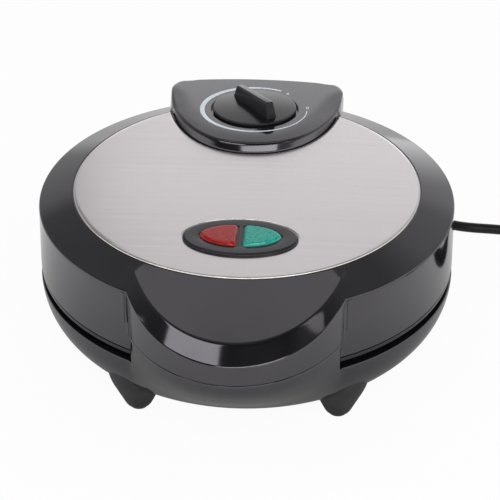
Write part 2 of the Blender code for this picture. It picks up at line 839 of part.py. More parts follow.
def base_radius(angle, corner, z, bowl_r):
    """Bowl radius, with handle and hinge housing fading into it as it goes down."""
    front = max(handle_reach(angle, corner) - RIM_R, 0.0)
    top = PARTING_Z - PARTING_GAP
    share = min((top - z) / (top - BLEND_END_Z), 1.0)
    return bowl_r + front * math.cos(share * math.pi / 2) ** 2 + rear_bulge(angle, z)


def bowl_levels(inset=0.0, steps=7):
    """Heights and radii down the bowl: a quarter ellipse from the rim to the flat."""
    levels = []
    for index in range(steps + 1):
        turn = index / steps * math.pi / 2
        radius = BOWL_FLAT_R + (RIM_R - inset - BOWL_FLAT_R) * math.cos(turn)
        levels.append((radius, RIM_Z - (BOWL_DEPTH - inset) * math.sin(turn)))
    return levels


def base_outer(name="base_shell", grow=0.0, collection=PARTS):
    """Outer form of the base, grown where it is the room that another part needs."""
    corner = circle_crossing(HANDLE_HALF_W, HANDLE_HALF_D, -HANDLE_CENTRE, RIM_R)
    angles = body_angles(corner)
    top = PARTING_Z - PARTING_GAP
    levels = [(RIM_R, top), (RIM_R, (top + RIM_Z) / 2)] + bowl_levels()
    rings = [
        [at_angle(angle, base_radius(angle, corner, z, radius) + grow, z - grow)
         for angle in angles]
        for radius, z in levels]
    return lofted(name, rings, collection)


def base_hollow():
    """Inside of the bowl, under a lip that carries the lower plate's flange."""
    under_lip = RIM_Z - RIM_LIP
    inner = [(r, z) for r, z in bowl_levels(WALL) if z < under_lip]
    profile = [
        (0.0, RIM_Z + OVERRUN),
        (LIP_R, RIM_Z + OVERRUN),
        (LIP_R, under_lip),
        (inner[0][0], under_lip)] + inner + [(0.0, inner[-1][1])]
    return on_axis(turned("base_hollow", profile, CUTTERS))


def mouth_cutters():
    """Clear the room that the lid's skirt and rear take above the base's rim."""
    high = CREASE_Z
    corner = circle_crossing(HANDLE_HALF_W, HANDLE_HALF_D, -HANDLE_CENTRE, RIM_R)
    tips_y = AXIS_Y - RIM_R * math.cos(corner)
    skirt = on_axis(turned("skirt_room", (
        (0.0, high), (RIM_R + GAP, high), (RIM_R + GAP, RIM_Z), (0.0, RIM_Z)), CUTTERS))
    reach = REAR_REACH + HANDLE_HALF_D
    rear = box("rear_room", (-reach, tips_y, RIM_Z), (reach, reach, high))
    sides = []
    for start, end in ((TIP_CUT_W, reach), (-reach, -TIP_CUT_W)):
        sides.append(box("tip_room", (start, -reach, RIM_Z), (end, tips_y + OVERRUN, high)))
    return [skirt, rear] + sides


def hinge_lugs():
    """Two upright lugs, round about the pins, standing on the hinge housing."""
    centre_y = AXIS_Y + HINGE_Y
    steps = 12
    outline = []
    for index in range(steps + 1):
        turn = math.pi * index / steps
        outline.append((centre_y + LUG_R * math.cos(turn), HINGE_Z + LUG_R * math.sin(turn)))
    root = RIM_Z - LUG_R / 2
    outline += [(centre_y - LUG_R, root), (centre_y + LUG_R, root)]
    lugs = []
    for side in (1, -1):
        ends = sorted((side * LUG_IN, side * (LUG_IN + LUG_W)))
        lugs.append(sideways_slab("lug", outline, *ends))
    return lugs


def hinge_room():
    """Pocket for the turning knuckle and the ledge that stops the open lid."""
    y = AXIS_Y + HINGE_Y
    radius = LUG_R + KNUCKLE_CLEAR
    pocket = rod("knuckle_room", (-LUG_IN, y, HINGE_Z), (LUG_IN, y, HINGE_Z), radius, steps=RING_STEPS)
    back = y + REAR_REACH
    ledge = box("lid_stop", (-LUG_IN, y, HINGE_Z - STOP_DROP), (LUG_IN, back, HINGE_Z + radius))
    return pocket, ledge


def hinge_backing():
    """Wall behind the pocket that keeps it apart from the inside of the bowl."""
    y = AXIS_Y + HINGE_Y
    front = y - LUG_R - KNUCKLE_CLEAR - WALL
    half = LUG_IN + LUG_W / 2
    low = HINGE_Z - STOP_DROP - WALL
    return box("hinge_backing", (-half, front, low), (half, y - LUG_R / 2, RIM_Z - GAP))


def vent_cutter():
    """Rows of slots with round ends through the bowl's flat bottom."""
    slots = []
    end_r = VENT_WIDTH / 2
    straight = VENT_LENGTH / 2 - end_r
    for side in (1, -1):
        for row in range(VENT_ROWS):
            y = AXIS_Y + (row - (VENT_ROWS - 1) / 2) * VENT_STEP
            outline = []
            for index in range(12):
                turn = (index + 0.5) * math.tau / 12
                shift = straight if math.cos(turn) > 0 else -straight
                x = side * VENT_OFFSET + shift + end_r * math.cos(turn)
                outline.append((x, y + end_r * math.sin(turn)))
            slots.append(slab("vent", outline, BOWL_Z - OVERRUN, BOWL_Z + WALL + OVERRUN))
    return merged("vents", slots)


def gland_direction():
    return Vector((math.cos(GLAND_ANGLE), math.sin(GLAND_ANGLE), 0.0))


def gland_root():
    """Where the strain relief meets the outside of the bowl."""
    share = (RIM_Z - GLAND_Z) / BOWL_DEPTH
    radius = BOWL_FLAT_R + (RIM_R - BOWL_FLAT_R) * math.sqrt(1 - share ** 2)
    return Vector((0.0, AXIS_Y, GLAND_Z)) + radius * gland_direction()


def base_shell():
    base = base_outer()
    cut(base, *mouth_cutters())
    cut(base, base_hollow())
    join(base, hinge_backing(), *hinge_lugs())
    cut(base, *hinge_room())
    join(base, posts("base_posts", BOWL_Z + POST_ROOT, CLOSE_Z - PLATE_BACK - GAP))
    cut(base, screw_holes("base_screw_holes", CLOSE_Z - SCREW_LENGTH - OVERRUN, CLOSE_Z))
    cut(base, vent_cutter())
    lug_out = LUG_IN + LUG_W
    cut(base, pin_rods("base_pin_holes", PIN_R + GAP, LUG_IN - OVERRUN, lug_out + OVERRUN))
    cut(base, pin_rods("pin_head_rooms", PIN_HEAD_R + KNUCKLE_CLEAR, lug_out, lug_out + PIN_HEAD_H + OVERRUN))
    root = gland_root()
    inner = root - gland_back() * gland_direction()
    outer = root + gland_back() * gland_direction()
    cut(base, rod("gland_hole", inner, outer, GLAND_NECK_R + GAP))
    return as_part(base, "gloss_black")


# Cooking plates, elements and reflectors: made once facing up and once facing down

def facing(side, depth):
    """Height at a depth behind the closing plane, for the lower or the upper half."""
    return CLOSE_Z - side * depth


def mould_places():
    return [(0.0, AXIS_Y)] + around(MOULD_PITCH_R, MOULD_COUNT)


def torus_ring(name, place, z):
    """Ring-shaped cutter of one donut mould."""
    minor = 8
    profile = []
    for index in range(minor):
        turn = index * math.tau / minor
        radius = MOULD_RING_R + MOULD_GROOVE_R * math.cos(turn)
        profile.append((radius, z + MOULD_GROOVE_R * math.sin(turn)))
    thing = turned(name, profile, CUTTERS, steps=SMALL_STEPS)
    thing.location = (*place, 0.0)
    return curve_to_mesh(thing, CUTTERS)


def cooking_plate(name, side):
    """Cast plate with a seating flange, seven ring moulds and their bosses behind."""
    profile = (
        (0.0, facing(side, PLATE_FACE)),
        (PLATE_FLANGE_R, facing(side, PLATE_FACE)),
        (PLATE_FLANGE_R, facing(side, PLATE_SEAT)),
        (PLATE_BODY_R, facing(side, PLATE_SEAT)),
        (PLATE_BODY_R, facing(side, PLATE_BACK)),
        (0.0, facing(side, PLATE_BACK)))
    plate = on_axis(turned(name, profile, steps=DISH_STEPS))
    bosses = [
        rod("boss", (x, y, facing(side, PLATE_FACE + PLATE_THICK / 2)), (x, y, facing(side, BOSS_BACK)),
            MOULD_BOSS_R, end_radius=MOULD_BOSS_R - MOULD_BOSS_TAPER)
        for x, y in mould_places()]
    join(plate, merged(name + "_bosses", bosses))
    rings = [torus_ring("mould", place, facing(side, PLATE_FACE)) for place in mould_places()]
    cut(plate, merged(name + "_moulds", rings))
    holes = []
    for x, y in around(SCREW_PITCH_R, SCREW_COUNT, SCREW_TURN):
        profile = (
            (0.0, facing(side, -OVERRUN)),
            (SCREW_HEAD_R + GAP, facing(side, -OVERRUN)),
            (SCREW_HEAD_R + GAP, facing(side, PLATE_FACE + GAP)),
            (SCREW_R + GAP, facing(side, PLATE_FACE + GAP + SCREW_HEAD_H)),
            (SCREW_R + GAP, facing(side, PLATE_BACK + OVERRUN)),
            (0.0, facing(side, PLATE_BACK + OVERRUN)))
        hole = turned("countersink", profile, CUTTERS, steps=12)
        hole.location = (x, y, 0.0)
        holes.append(curve_to_mesh(hole, CUTTERS))
    cut(plate, merged(name + "_screw_holes", holes))
    return as_part(plate, "nonstick")


def plate_screws(name, side):
    for number, (x, y) in enumerate(around(SCREW_PITCH_R, SCREW_COUNT, SCREW_TURN), 1):
        face = PLATE_FACE + GAP
        profile = (
            (0.0, facing(side, face)),
            (SCREW_HEAD_R, facing(side, face)),
            (SCREW_R, facing(side, face + SCREW_HEAD_H)),
            (SCREW_R, facing(side, SCREW_LENGTH - SCREW_R)),
            (0.0, facing(side, SCREW_LENGTH)))
        screw = turned(name + "_" + str(number), profile, steps=12)
        screw.location = (x, y, 0.0)
        as_part(screw, "bright_metal")


def element_ends(side):
    """The two places where an element's tails turn away from the plate."""
    turns = (math.pi / 2 + ELEMENT_OPEN / 2, math.pi / 2 - ELEMENT_OPEN / 2)
    return [
        (ELEMENT_RING_R * math.cos(turn), AXIS_Y + ELEMENT_RING_R * math.sin(turn),
         facing(side, ELEMENT_BACK))
        for turn in turns]


def element(name, side):
    """Open ring of sheathed heater under the moulds, with two tails for the wires."""
    steps = 26
    sweep = math.tau - ELEMENT_OPEN
    points = []
    for index in range(steps + 1):
        turn = math.pi / 2 + ELEMENT_OPEN / 2 + sweep * index / steps
        points.append((ELEMENT_RING_R * math.cos(turn), AXIS_Y + ELEMENT_RING_R * math.sin(turn),
                       facing(side, ELEMENT_BACK)))
    first, last = points[0], points[-1]
    tail = facing(side, ELEMENT_BACK + ELEMENT_TAIL)
    points = [(first[0], first[1], tail)] + points + [(last[0], last[1], tail)]
    return as_tube_part(tube(name, points, ELEMENT_R, resolution=1), "element_metal")


def as_tube_part(thing, finish):
    thing.data.materials.append(FINISHES[finish])
    return thing


def reflector(name, side):
    """Pressed dish behind the element, open towards the plate."""
    rim = facing(side, PLATE_BACK + GAP)
    floor = facing(side, REFLECTOR_BACK)
    inner_floor = facing(side, REFLECTOR_BACK - REFLECTOR_THICK)
    profile = (
        (REFLECTOR_R, rim),
        (REFLECTOR_FLOOR_R, floor),
        (0.0, floor),
        (0.0, inner_floor),
        (REFLECTOR_FLOOR_R - REFLECTOR_THICK, inner_floor),
        (REFLECTOR_R - REFLECTOR_THICK, rim))
    dish = on_axis(turned(name, profile, steps=DISH_STEPS))
    holes = [
        rod("tail_hole", (x, y, facing(side, REFLECTOR_BACK + OVERRUN)),
            (x, y, facing(side, REFLECTOR_BACK - OVERRUN)), REFLECTOR_HOLE_R)
        for x, y, _ in element_ends(side)]
    cut(dish, merged(name + "_tail_holes", holes))
    return as_part(dish, "aluminium")


# Feet

def foot(name, x, y):
    """Blunt cone that swells into the base, with room for the base and the strain relief."""
    profile = (
        (0.0, FOOT_TOP_Z),
        (FOOT_TOP_R, FOOT_TOP_Z),
        (FOOT_SHOULDER_R, FOOT_SHOULDER_Z),
        (FOOT_TIP_R + FOOT_ROUND, PAD_SUNK + FOOT_ROUND),
        (FOOT_TIP_R, PAD_SUNK),
        (0.0, PAD_SUNK))
    cone = turned(name, profile, steps=20)
    cone.location = (x, AXIS_Y + y, 0.0)
    cut(cone, base_outer(name + "_base_room", GAP, CUTTERS))
    place = (x, AXIS_Y + y)
    root = gland_root()
    if (root.xy - Vector(place)).length < FOOT_TOP_R + GLAND_NECK_R:
        inner = root - 2 * GLAND_NECK_R * gland_direction()
        outer = root + GLAND_LENGTH * gland_direction()
        cut(cone, rod(name + "_gland_room", inner, outer, GLAND_NECK_R + GAP))
    cut(cone, rod(name + "_pad_socket", (*place, 0.0), (*place, PAD_H + GAP), PAD_R + GAP))
    return as_part(cone, "satin_black")


def foot_pad(name, x, y):
    place = (x, AXIS_Y + y)
    pad = rod(name, (*place, 0.0), (*place, PAD_H), PAD_R, PARTS)
    return as_part(pad, "rubber")


def feet():
    for end, sign_y in (("front", -1), ("rear", 1)):
        for hand, sign_x in (("left", -1), ("right", 1)):
            foot("foot_" + end + "_" + hand, sign_x * FOOT_X, sign_y * FOOT_Y)
            foot_pad("foot_pad_" + end + "_" + hand, sign_x * FOOT_X, sign_y * FOOT_Y)


# Hinge pins

def hinge_pin(name, side):
    y = AXIS_Y + HINGE_Y
    outer = LUG_IN + LUG_W + GAP
    profile = (
        (0.0, PIN_HEAD_H),
        (PIN_HEAD_R, PIN_HEAD_H),
        (PIN_HEAD_R, 0.0),
        (PIN_R, 0.0),
        (PIN_R, LUG_IN - PIN_DEPTH + GAP - outer),
        (0.0, LUG_IN - PIN_DEPTH + GAP - outer))
    pin = turned(name, profile, steps=16)
    pin.rotation_euler = (0.0, side * math.pi / 2, 0.0)
    pin.location = (side * outer, y, HINGE_Z)
    return as_part(pin, "bright_metal")


# Dial, spindle and thermostat, all on the sloping dial axis

def dial_axis():
    empty = bpy.data.objects.new("dial_axis", None)
    empty.matrix_world = dial_frame()
    PARTS.objects.link(empty)
    return empty


def grip_outline(length, width, z, steps=16):
    """Long outline with round ends, turned to where the dial points."""
    turn = Matrix.Rotation(GRIP_TURN, 2)
    end_r = width / 2
    points = []
    for index in range(steps):
        angle = (index + 0.5) * math.tau / steps
        shift = length / 2 - end_r if math.cos(angle) > 0 else end_r - length / 2
        flat = turn @ Vector((shift + end_r * math.cos(angle), end_r * math.sin(angle)))
        points.append((flat.x, flat.y, z))
    return points


def dial_knob(axis):
    """Disc with a low dome, one grip blade across it and a bore for the spindle."""
    top = DIAL_RIM_H + DIAL_DOME
    low = GAP - DIAL_RECESS_H
    dome = [(DIAL_R * share, DIAL_RIM_H + DIAL_DOME * (1 - share ** 2)) for share in DIAL_DOME_SHARES]
    profile = [(0.0, top)] + dome + [(DIAL_R, DIAL_RIM_H), (DIAL_R, low), (0.0, low)]
    knob = turned("dial_knob", profile, steps=44)
    knob.parent = axis
    grip_top = DIAL_RIM_H + GRIP_H
    rings = [
        grip_outline(GRIP_TOP_LENGTH - 2 * GRIP_ROUND, GRIP_TOP_WIDTH - 2 * GRIP_ROUND, grip_top),
        grip_outline(GRIP_TOP_LENGTH, GRIP_TOP_WIDTH, grip_top - GRIP_ROUND),
        grip_outline(GRIP_LENGTH, GRIP_WIDTH, DIAL_RIM_H - GRIP_ROUND)]
    grip = lofted("grip", rings, CUTTERS)
    grip.parent = axis
    join(knob, grip)
    deep = low + SPINDLE_INTO_DIAL + GAP
    bore = rod("dial_bore", (0, 0, low - OVERRUN), (0, 0, deep), SPINDLE_R + GAP)
    bore.parent = axis
    cut(knob, bore)
    return as_part(knob, "satin_black")


def spindle(axis):
    low = GAP - DIAL_RECESS_H
    foot_z = -WALL - DIAL_RECESS_H - GAP - SPINDLE_INTO_STAT
    tip = low + SPINDLE_INTO_DIAL
    shaft = rod("dial_spindle", (0, 0, foot_z), (0, 0, tip), SPINDLE_R, PARTS)
    shaft.parent = axis
    return as_part(shaft, "bright_metal")


def thermostat(axis):
    """Thermostat body under the housing, with a neck that the spindle enters."""
    half_w = STAT_W / 2
    half_d = STAT_D / 2
    top = -WALL - GAP
    body = box("thermostat", (-half_w, -half_d, top - STAT_H), (half_w, half_d, top), PARTS)
    body.parent = axis
    deep = -WALL - DIAL_RECESS_H - 2 * GAP - SPINDLE_INTO_STAT
    bore = rod("thermostat_bore", (0, 0, deep), (0, 0, OVERRUN), SPINDLE_R + GAP)
    bore.parent = axis
    cut(body, bore)
    return as_part(body, "ceramic")


# Indicator bezel, lenses and lamps

def bezel_seat():
    """Top of the domed panel under the bezel's inner side."""
    share = (abs(BEZEL_Y) - BEZEL_HALF_D) / PANEL_R
    return CREASE_Z + PANEL_RISE + PANEL_PROUD + PANEL_DOME * (1 - share ** 2) + GAP


def lens_outline(side, grow=0.0, steps=9):
    """Half leaf: straight beside the divider and bowed to a blunt point outside."""
    start = LENS_DIVIDER / 2 - grow
    length = LENS_LENGTH + 2 * grow
    half = LENS_HALF_D + grow
    upper = []
    for index in range(steps + 1):
        turn = index / steps * math.pi / 2
        upper.append((start + length * math.sin(turn), half * math.cos(turn) ** LENS_BOW))
    lower = [(x, -y) for x, y in reversed(upper[:-1])]
    return [(side * x, AXIS_Y + BEZEL_Y + y) for x, y in upper + lower]


def bezel():
    seat = bezel_seat()
    top_w = BEZEL_HALF_W - BEZEL_TOP_INSET
    top_d = BEZEL_HALF_D - BEZEL_TOP_INSET
    body_w = BEZEL_HALF_W - BEZEL_BODY_INSET
    body_d = BEZEL_HALF_D - BEZEL_BODY_INSET

    def ring(half_w, half_d, z):
        return [(x, y, z) for x, y in ellipse(half_w, half_d, BEZEL_Y, 40)]

    thing = lofted("indicator_bezel", [
        ring(top_w, top_d, seat + BEZEL_TOP_H),
        ring(BEZEL_HALF_W, BEZEL_HALF_D, seat + BEZEL_EDGE_H),
        ring(BEZEL_HALF_W, BEZEL_HALF_D, seat),
        ring(body_w, body_d, seat),
        ring(body_w, body_d, seat - BEZEL_BODY_H)])
    low = seat - BEZEL_BODY_H - OVERRUN
    for side, hand in ((-1, "left"), (1, "right")):
        cut(thing, slab("lens_room_" + hand, lens_outline(side, GAP), low, seat + BEZEL_TOP_H + OVERRUN))
    return as_part(thing, "gloss_black")


def lens(name, side, finish):
    """Clear cap with a flat top facet inside a bevelled edge."""
    seat = bezel_seat()
    top = seat + BEZEL_TOP_H + LENS_PROUD
    edge = seat + BEZEL_TOP_H + GAP

    def ring(grow, z):
        return [(x, y, z) for x, y in lens_outline(side, grow)]

    thing = lofted(name, [
        ring(-LENS_FACET, top), ring(0.0, edge), ring(0.0, seat - LENS_DEPTH)])
    return as_part(thing, finish)


def lamp(name, side):
    """Small glow lamp lying under its lens."""
    z = bezel_seat() - LENS_DEPTH - GAP - LAMP_R
    inner = side * (LENS_DIVIDER / 2 + LAMP_INSET)
    y = AXIS_Y + BEZEL_Y
    thing = rod(name, (inner, y, z), (inner + side * LAMP_LENGTH, y, z), LAMP_R, PARTS, 12)
    return as_part(thing, "glass")


# Terminal block on the bowl's floor

def terminal_block():
    floor = BOWL_Z + WALL + GAP
    half_w = BLOCK_W / 2
    half_d = BLOCK_D / 2
    y = AXIS_Y + BLOCK_Y
    top = floor + BLOCK_H
    block = box("terminal_block", (-half_w, y - half_d, floor), (half_w, y + half_d, top), PARTS)
    for index in (-1, 0, 1):
        x = index * BLOCK_SLOT_STEP
        half = BLOCK_SLOT_W / 2
        low = (x - half, y - BLOCK_D, top - BLOCK_SLOT_H)
        cut(block, box("terminal_slot", low, (x + half, y + BLOCK_D, top + OVERRUN)))
    return as_part(block, "ceramic")


# Supply cord: strain relief, free run, coil, tail and plug

def smooth_route(points, per_span=2):
    """Points read from a smooth curve through a hand-chosen route."""
    route = [Vector(point) for point in points]
    route = [2 * route[0] - route[1]] + route + [2 * route[-1] - route[-2]]
    result = []
    for before, start, end, after in zip(route, route[1:], route[2:], route[3:]):
        for index in range(per_span):
            t = index / per_span
            result.append(0.5 * (
                2 * start + (end - before) * t
                + (2 * before - 5 * start + 4 * end - after) * t ** 2
                + (3 * start - before - 3 * end + after) * t ** 3))
    return result + [route[-2]]


def coil_points():
    """Cord wound inwards on the table and outwards again on a second layer."""
    count = int(COIL_TURNS * COIL_TURN_POINTS)
    middle = COIL_TURNS / 2
    half = COIL_REVERSAL_TURNS / 2
    points = []
    for index in range(count + 1):
        turns = COIL_TURNS * index / count
        from_middle = abs(turns - middle)
        inward = middle - from_middle
        if from_middle < half:
            inward = middle - (from_middle ** 2 + half ** 2) / (2 * half)
        radius = COIL_OUTER_R - COIL_PITCH * inward
        climb = smooth((turns - middle + half) / (2 * half))
        angle = math.pi / 2 - math.tau * turns
        points.append(Vector((
            COIL_CENTRE[0] + radius * math.cos(angle),
            COIL_CENTRE[1] + radius * math.sin(angle),
            CORD_R + GAP + COIL_PITCH * climb)))
    return points


def lead(points, distance):
    """A place straight ahead of the first of some points."""
    return points[0] + (points[0] - points[1]).normalized() * distance


def with_straight_ends(points):
    """The same route with one straight cord width added at each end."""
    return [lead(points, 2 * CORD_R)] + points + [lead(points[::-1], 2 * CORD_R)]


def least_gap(points, radius):
    """Smallest clear distance between stretches more than half a turn apart."""
    apart = COIL_TURN_POINTS // 2
    least = min(
        (points[i] - points[j]).length
        for i in range(len(points)) for j in range(i + apart, len(points)))
    return least - 2 * radius


def gland_back():
    """How far inside the bowl's surface the gland's collar sits, clear of the wall."""
    share = (RIM_Z - GLAND_Z) / BOWL_DEPTH
    lean = (RIM_R - BOWL_FLAT_R) / BOWL_DEPTH * share / math.sqrt(1 - share ** 2)
    return WALL * math.sqrt(1 + lean ** 2) + (GLAND_COLLAR_R + 2 * WALL) * lean + GAP


def gland():
    """Tapered strain relief through the bowl's wall, held by a collar inside."""
    inner = -gland_back()
    profile = (
        (0.0, GLAND_LENGTH),
        (GLAND_TIP_R, GLAND_LENGTH),
        (GLAND_NECK_R, 0.0),
        (GLAND_NECK_R, inner),
        (GLAND_COLLAR_R, inner),
        (GLAND_COLLAR_R, inner - GLAND_COLLAR_H),
        (0.0, inner - GLAND_COLLAR_H))
    thing = turned("strain_relief", profile, steps=18)
    thing.rotation_mode = "QUATERNION"
    thing.rotation_quaternion = Vector((0, 0, 1)).rotation_difference(gland_direction())
    thing.location = gland_root()
    return as_part(thing, "rubber")


def cord():
    route = coil_points()
    gap = least_gap(route, CORD_R)
    print("least gap between the coil's turns: %.5f m" % gap)
    coil = with_straight_ends(route)
    start = gland_root() + (GLAND_LENGTH + GAP) * gland_direction()
    away = start + 2 * CORD_R * gland_direction()
    into_coil = [lead(coil, GAP + 2 * CORD_R), lead(coil, GAP)]
    free = smooth_route([start, away] + list(CORD_ROUTE) + into_coil)
    as_tube_part(tube("cord", free, CORD_R), "rubber")
    as_tube_part(tube("cord_coil", coil, CORD_R, resolution=1), "rubber")
    after = coil[::-1]
    z = PLUG_HALF_H + GAP
    into_plug = [(PLUG_X, PLUG_Y + 2 * CORD_R, z), (PLUG_X, PLUG_Y, z)]
    out_of_coil = [lead(after, GAP), lead(after, GAP + 2 * CORD_R)]
    tail = smooth_route(out_of_coil + list(TAIL_ROUTE) + into_plug)
    as_tube_part(tube("cord_tail", tail, CORD_R), "rubber")


def plug():
    """Flat moulded plug lying on the table, with two round pins."""
    y = PLUG_Y - GAP
    z = PLUG_HALF_H + GAP

    def ring(half_w, half_h, forward):
        points = []
        for index in range(20):
            turn = index * math.tau / 20
            across = math.copysign(abs(math.cos(turn)) ** PLUG_ROUNDNESS, math.cos(turn))
            up = math.copysign(abs(math.sin(turn)) ** PLUG_ROUNDNESS, math.sin(turn))
            points.append((PLUG_X + half_w * across, y - forward, z + half_h * up))
        return points

    width, forward = PLUG_SHOULDER_SHARES
    body = lofted("plug", [
        ring(PLUG_TIP_R, PLUG_TIP_R, 0.0),
        ring(PLUG_RELIEF_R, PLUG_RELIEF_R, PLUG_RELIEF),
        ring(PLUG_HALF_W * width, PLUG_HALF_H, PLUG_RELIEF + PLUG_LENGTH * forward),
        ring(PLUG_HALF_W, PLUG_HALF_H, PLUG_RELIEF + PLUG_LENGTH * PLUG_WIDEST_SHARE),
        ring(PLUG_NOSE_HALF_W, PLUG_HALF_H, PLUG_RELIEF + PLUG_LENGTH)])
    nose = y - PLUG_RELIEF - PLUG_LENGTH
    for side, hand in ((-1, "left"), (1, "right")):
        x = PLUG_X + side * PLUG_PIN_HALF_STEP
        inner = nose + PLUG_PIN_ROOT
        cut(body, rod("plug_pin_room_" + hand, (x, inner, z), (x, nose - OVERRUN, z), PLUG_PIN_R + GAP))
        tip = (x, nose - PLUG_PIN_LENGTH, z)
        pin = rod("plug_pin_" + hand, (x, inner - GAP, z), tip, PLUG_PIN_R, PARTS, 12)
        as_part(pin, "bright_metal")
    return as_part(body, "rubber")


def main():
    lid_shell()
    top_panel()
    lid_frame()
    base_shell()
    for half, side in (("lower", 1), ("upper", -1)):
        cooking_plate(half + "_cooking_plate", side)
        plate_screws(half + "_plate_screw", side)
        element(half + "_element", side)
        reflector(half + "_reflector", side)
    feet()
    hinge_pin("hinge_pin_left", -1)
    hinge_pin("hinge_pin_right", 1)
    axis = dial_axis()
    dial_knob(axis)
    spindle(axis)
    thermostat(axis)
    bezel()
    lens("lens_red", -1, "red_lens")
    lens("lens_green", 1, "green_lens")
    lamp("lamp_left", -1)
    lamp("lamp_right", 1)
    terminal_block()
    gland()
    cord()
    plug()


main()
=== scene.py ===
"""Dressed mini donut maker: smooth shells, steel panel, dial, lamps, plates and cord.

Metres, +Z up, -Y towards the user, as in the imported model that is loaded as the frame.
Every new piece is a surface on a grid of two parameters, or a profile turned about an
axis, worked out as whole arrays.
"""
import math

import bmesh
import bpy
import numpy as np
from bpy.props import FloatProperty, FloatVectorProperty, PointerProperty
from bpy.types import Operator, Panel, PropertyGroup
from mathutils import Matrix, Quaternion, Vector
from mathutils.geometry import delaunay_2d_cdt


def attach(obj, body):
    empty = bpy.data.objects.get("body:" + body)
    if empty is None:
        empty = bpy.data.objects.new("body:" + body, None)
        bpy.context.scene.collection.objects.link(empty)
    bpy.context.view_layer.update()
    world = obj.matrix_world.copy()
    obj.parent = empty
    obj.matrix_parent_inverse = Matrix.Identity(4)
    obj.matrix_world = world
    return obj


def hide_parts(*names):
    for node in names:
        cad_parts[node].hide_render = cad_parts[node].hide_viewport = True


bl_info = {
    "name": "Mini donut maker",
    "version": (1, 0, 0),
    "blender": (4, 5, 0),
    "location": "3D View > Sidebar > Donut maker",
    "description": "Builds the visible pieces of a countertop cooker for small ring cakes",
    "category": "Object",
}

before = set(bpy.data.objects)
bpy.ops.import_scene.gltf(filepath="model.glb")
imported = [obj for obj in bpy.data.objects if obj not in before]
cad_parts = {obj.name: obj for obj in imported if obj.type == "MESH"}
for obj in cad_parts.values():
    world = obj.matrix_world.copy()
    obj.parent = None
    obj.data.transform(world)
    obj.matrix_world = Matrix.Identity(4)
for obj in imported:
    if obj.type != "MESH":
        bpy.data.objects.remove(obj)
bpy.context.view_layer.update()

# Shared fits
GAP = 0.0003
WALL = 0.0025
TINY = 1e-9
WELD = 2e-6
OVERRUN = 0.003
CORNER_SHARE = 0.45
FLAT_REACH = 1.8
FLAT_SHARE = 0.48
SHARP = math.radians(38)
HANDS = ((-1, "left"), (1, "right"))

# Lid ring, skirt, panel and handle
CREASE_Z = 0.088
RING_R = 0.115
PANEL_R = 0.0956
PANEL_RISE = 0.0075
PANEL_THICK = 0.0009
PANEL_PROUD = 0.0003
PANEL_DOME = 0.0010
PANEL_GROOVE = 0.0007
SKIRT_H = 0.0352
SKIRT_DRAFT = 0.0007
HANDLE_CENTRE = 0.0600
HANDLE_HALF_W = 0.0643
HANDLE_HALF_D = 0.0833
HANDLE_BEVEL_W = 0.0066
HANDLE_BEVEL_D = 0.0090
HANDLE_DROP = 0.0037
HANDLE_DROP_EASE = 0.0190
HANDLE_FACE_H = 0.0255
TOP_START = 0.0012
TOP_LIFT = 0.0008
TOP_EASE = 0.0070
PARTING_GAP = 0.0003
RIB_START = 0.0006
RIB_W = 0.0025
RIB_OUT = 0.0006
RIB_DEPTH = 0.0008
RIB_TOP = 0.0010
RIB_END = 0.0195
RIB_SQUARENESS = 6
SEAM = 0.0008
FRAME_LIP = 0.0022
FRAME_INSET = 0.0003
FRAME_SPIGOT_H = 0.0060
FRAME_SPIGOT_W = 0.0030
MOUTH_GAP = 0.0041
FRAME_EDGE = 0.0020
PANEL_ROLL = 0.0009
PANEL_CORNER_START = 0.036
PANEL_CORNER_END = 0.0535
PANEL_EDGE_REACH = 1.3
PANEL_EDGE_CROWD = 1.6
PANEL_EDGE_SHARE = 0.3

# Base bowl and hinge
RIM_R = 0.1159
RIM_LIP = 0.0030
BOWL_DEPTH = 0.0360
BOWL_FLAT_R = 0.0800
BLEND_END_Z = 0.0190
TIP_CUT_W = 0.0545
HOUSING_END_Z = 0.0200
HOUSING_HALF_ANGLE = math.radians(20.5)
HOUSING_EASE_ANGLE = math.radians(9)
HINGE_Y = 0.1170
HINGE_DROP = 0.0400
LUG_R = 0.0080
LUG_IN = 0.0350
LUG_W = 0.0080
KNUCKLE_CLEAR = 0.0006
PIN_HEAD_H = 0.0012
SWING_CLEAR = 0.0115
STOP_DROP = 0.0110
HINGE_EDGE = 0.0008
BASE_EDGE = 0.0006
BLOCK_END_ROUND = 0.0010
BLOCK_FADE = 8

# Thermostat housing and dial
HUMP_CENTRE = 0.1134
HUMP_HALF_W = 0.0523
HUMP_HALF_D = 0.0810
HUMP_SQUARENESS = 2.15
HUMP_FRONT_RISE = 0.0145
HUMP_CHAMFER_W = 0.0006
HUMP_CHAMFER_D = 0.0032
HUMP_CHAMFER_H = 0.0057
HUMP_BACK_CHAMFER = 0.0014
HUMP_BACK_R = 0.2350
HUMP_CORNER_W = 0.0050
HUMP_CORNER_D = 0.0090
HUMP_CORNER_FLATTEN = 0.4
HUMP_TILT = math.radians(3.55)
CROWN_W = 0.0110
CROWN_FALL = 0.0013
CROWN_EASE = 0.0350
FLARE = 0.5
FLARE_EASE = 0.0040
DIAL_Y = 0.0798
DIAL_R = 0.0245
DIAL_RECESS_GAP = 0.0013
DIAL_RECESS_H = 0.0020
DIAL_RIM_H = 0.0016
DIAL_DOME = 0.0009
DIAL_RIM_ROUND = 0.0007
GRIP_LENGTH = 0.0400
GRIP_WIDTH = 0.0072
GRIP_TOP_LENGTH = 0.0366
GRIP_TOP_WIDTH = 0.0046
GRIP_H = 0.0100
GRIP_ROUND = 0.0009
GRIP_TURN = math.radians(-57)
GRIP_FALL = 0.0030
GRIP_ROOT = 0.0008
GRIP_STEP = 0.0006
GRIP_SQUARENESS = 0.5

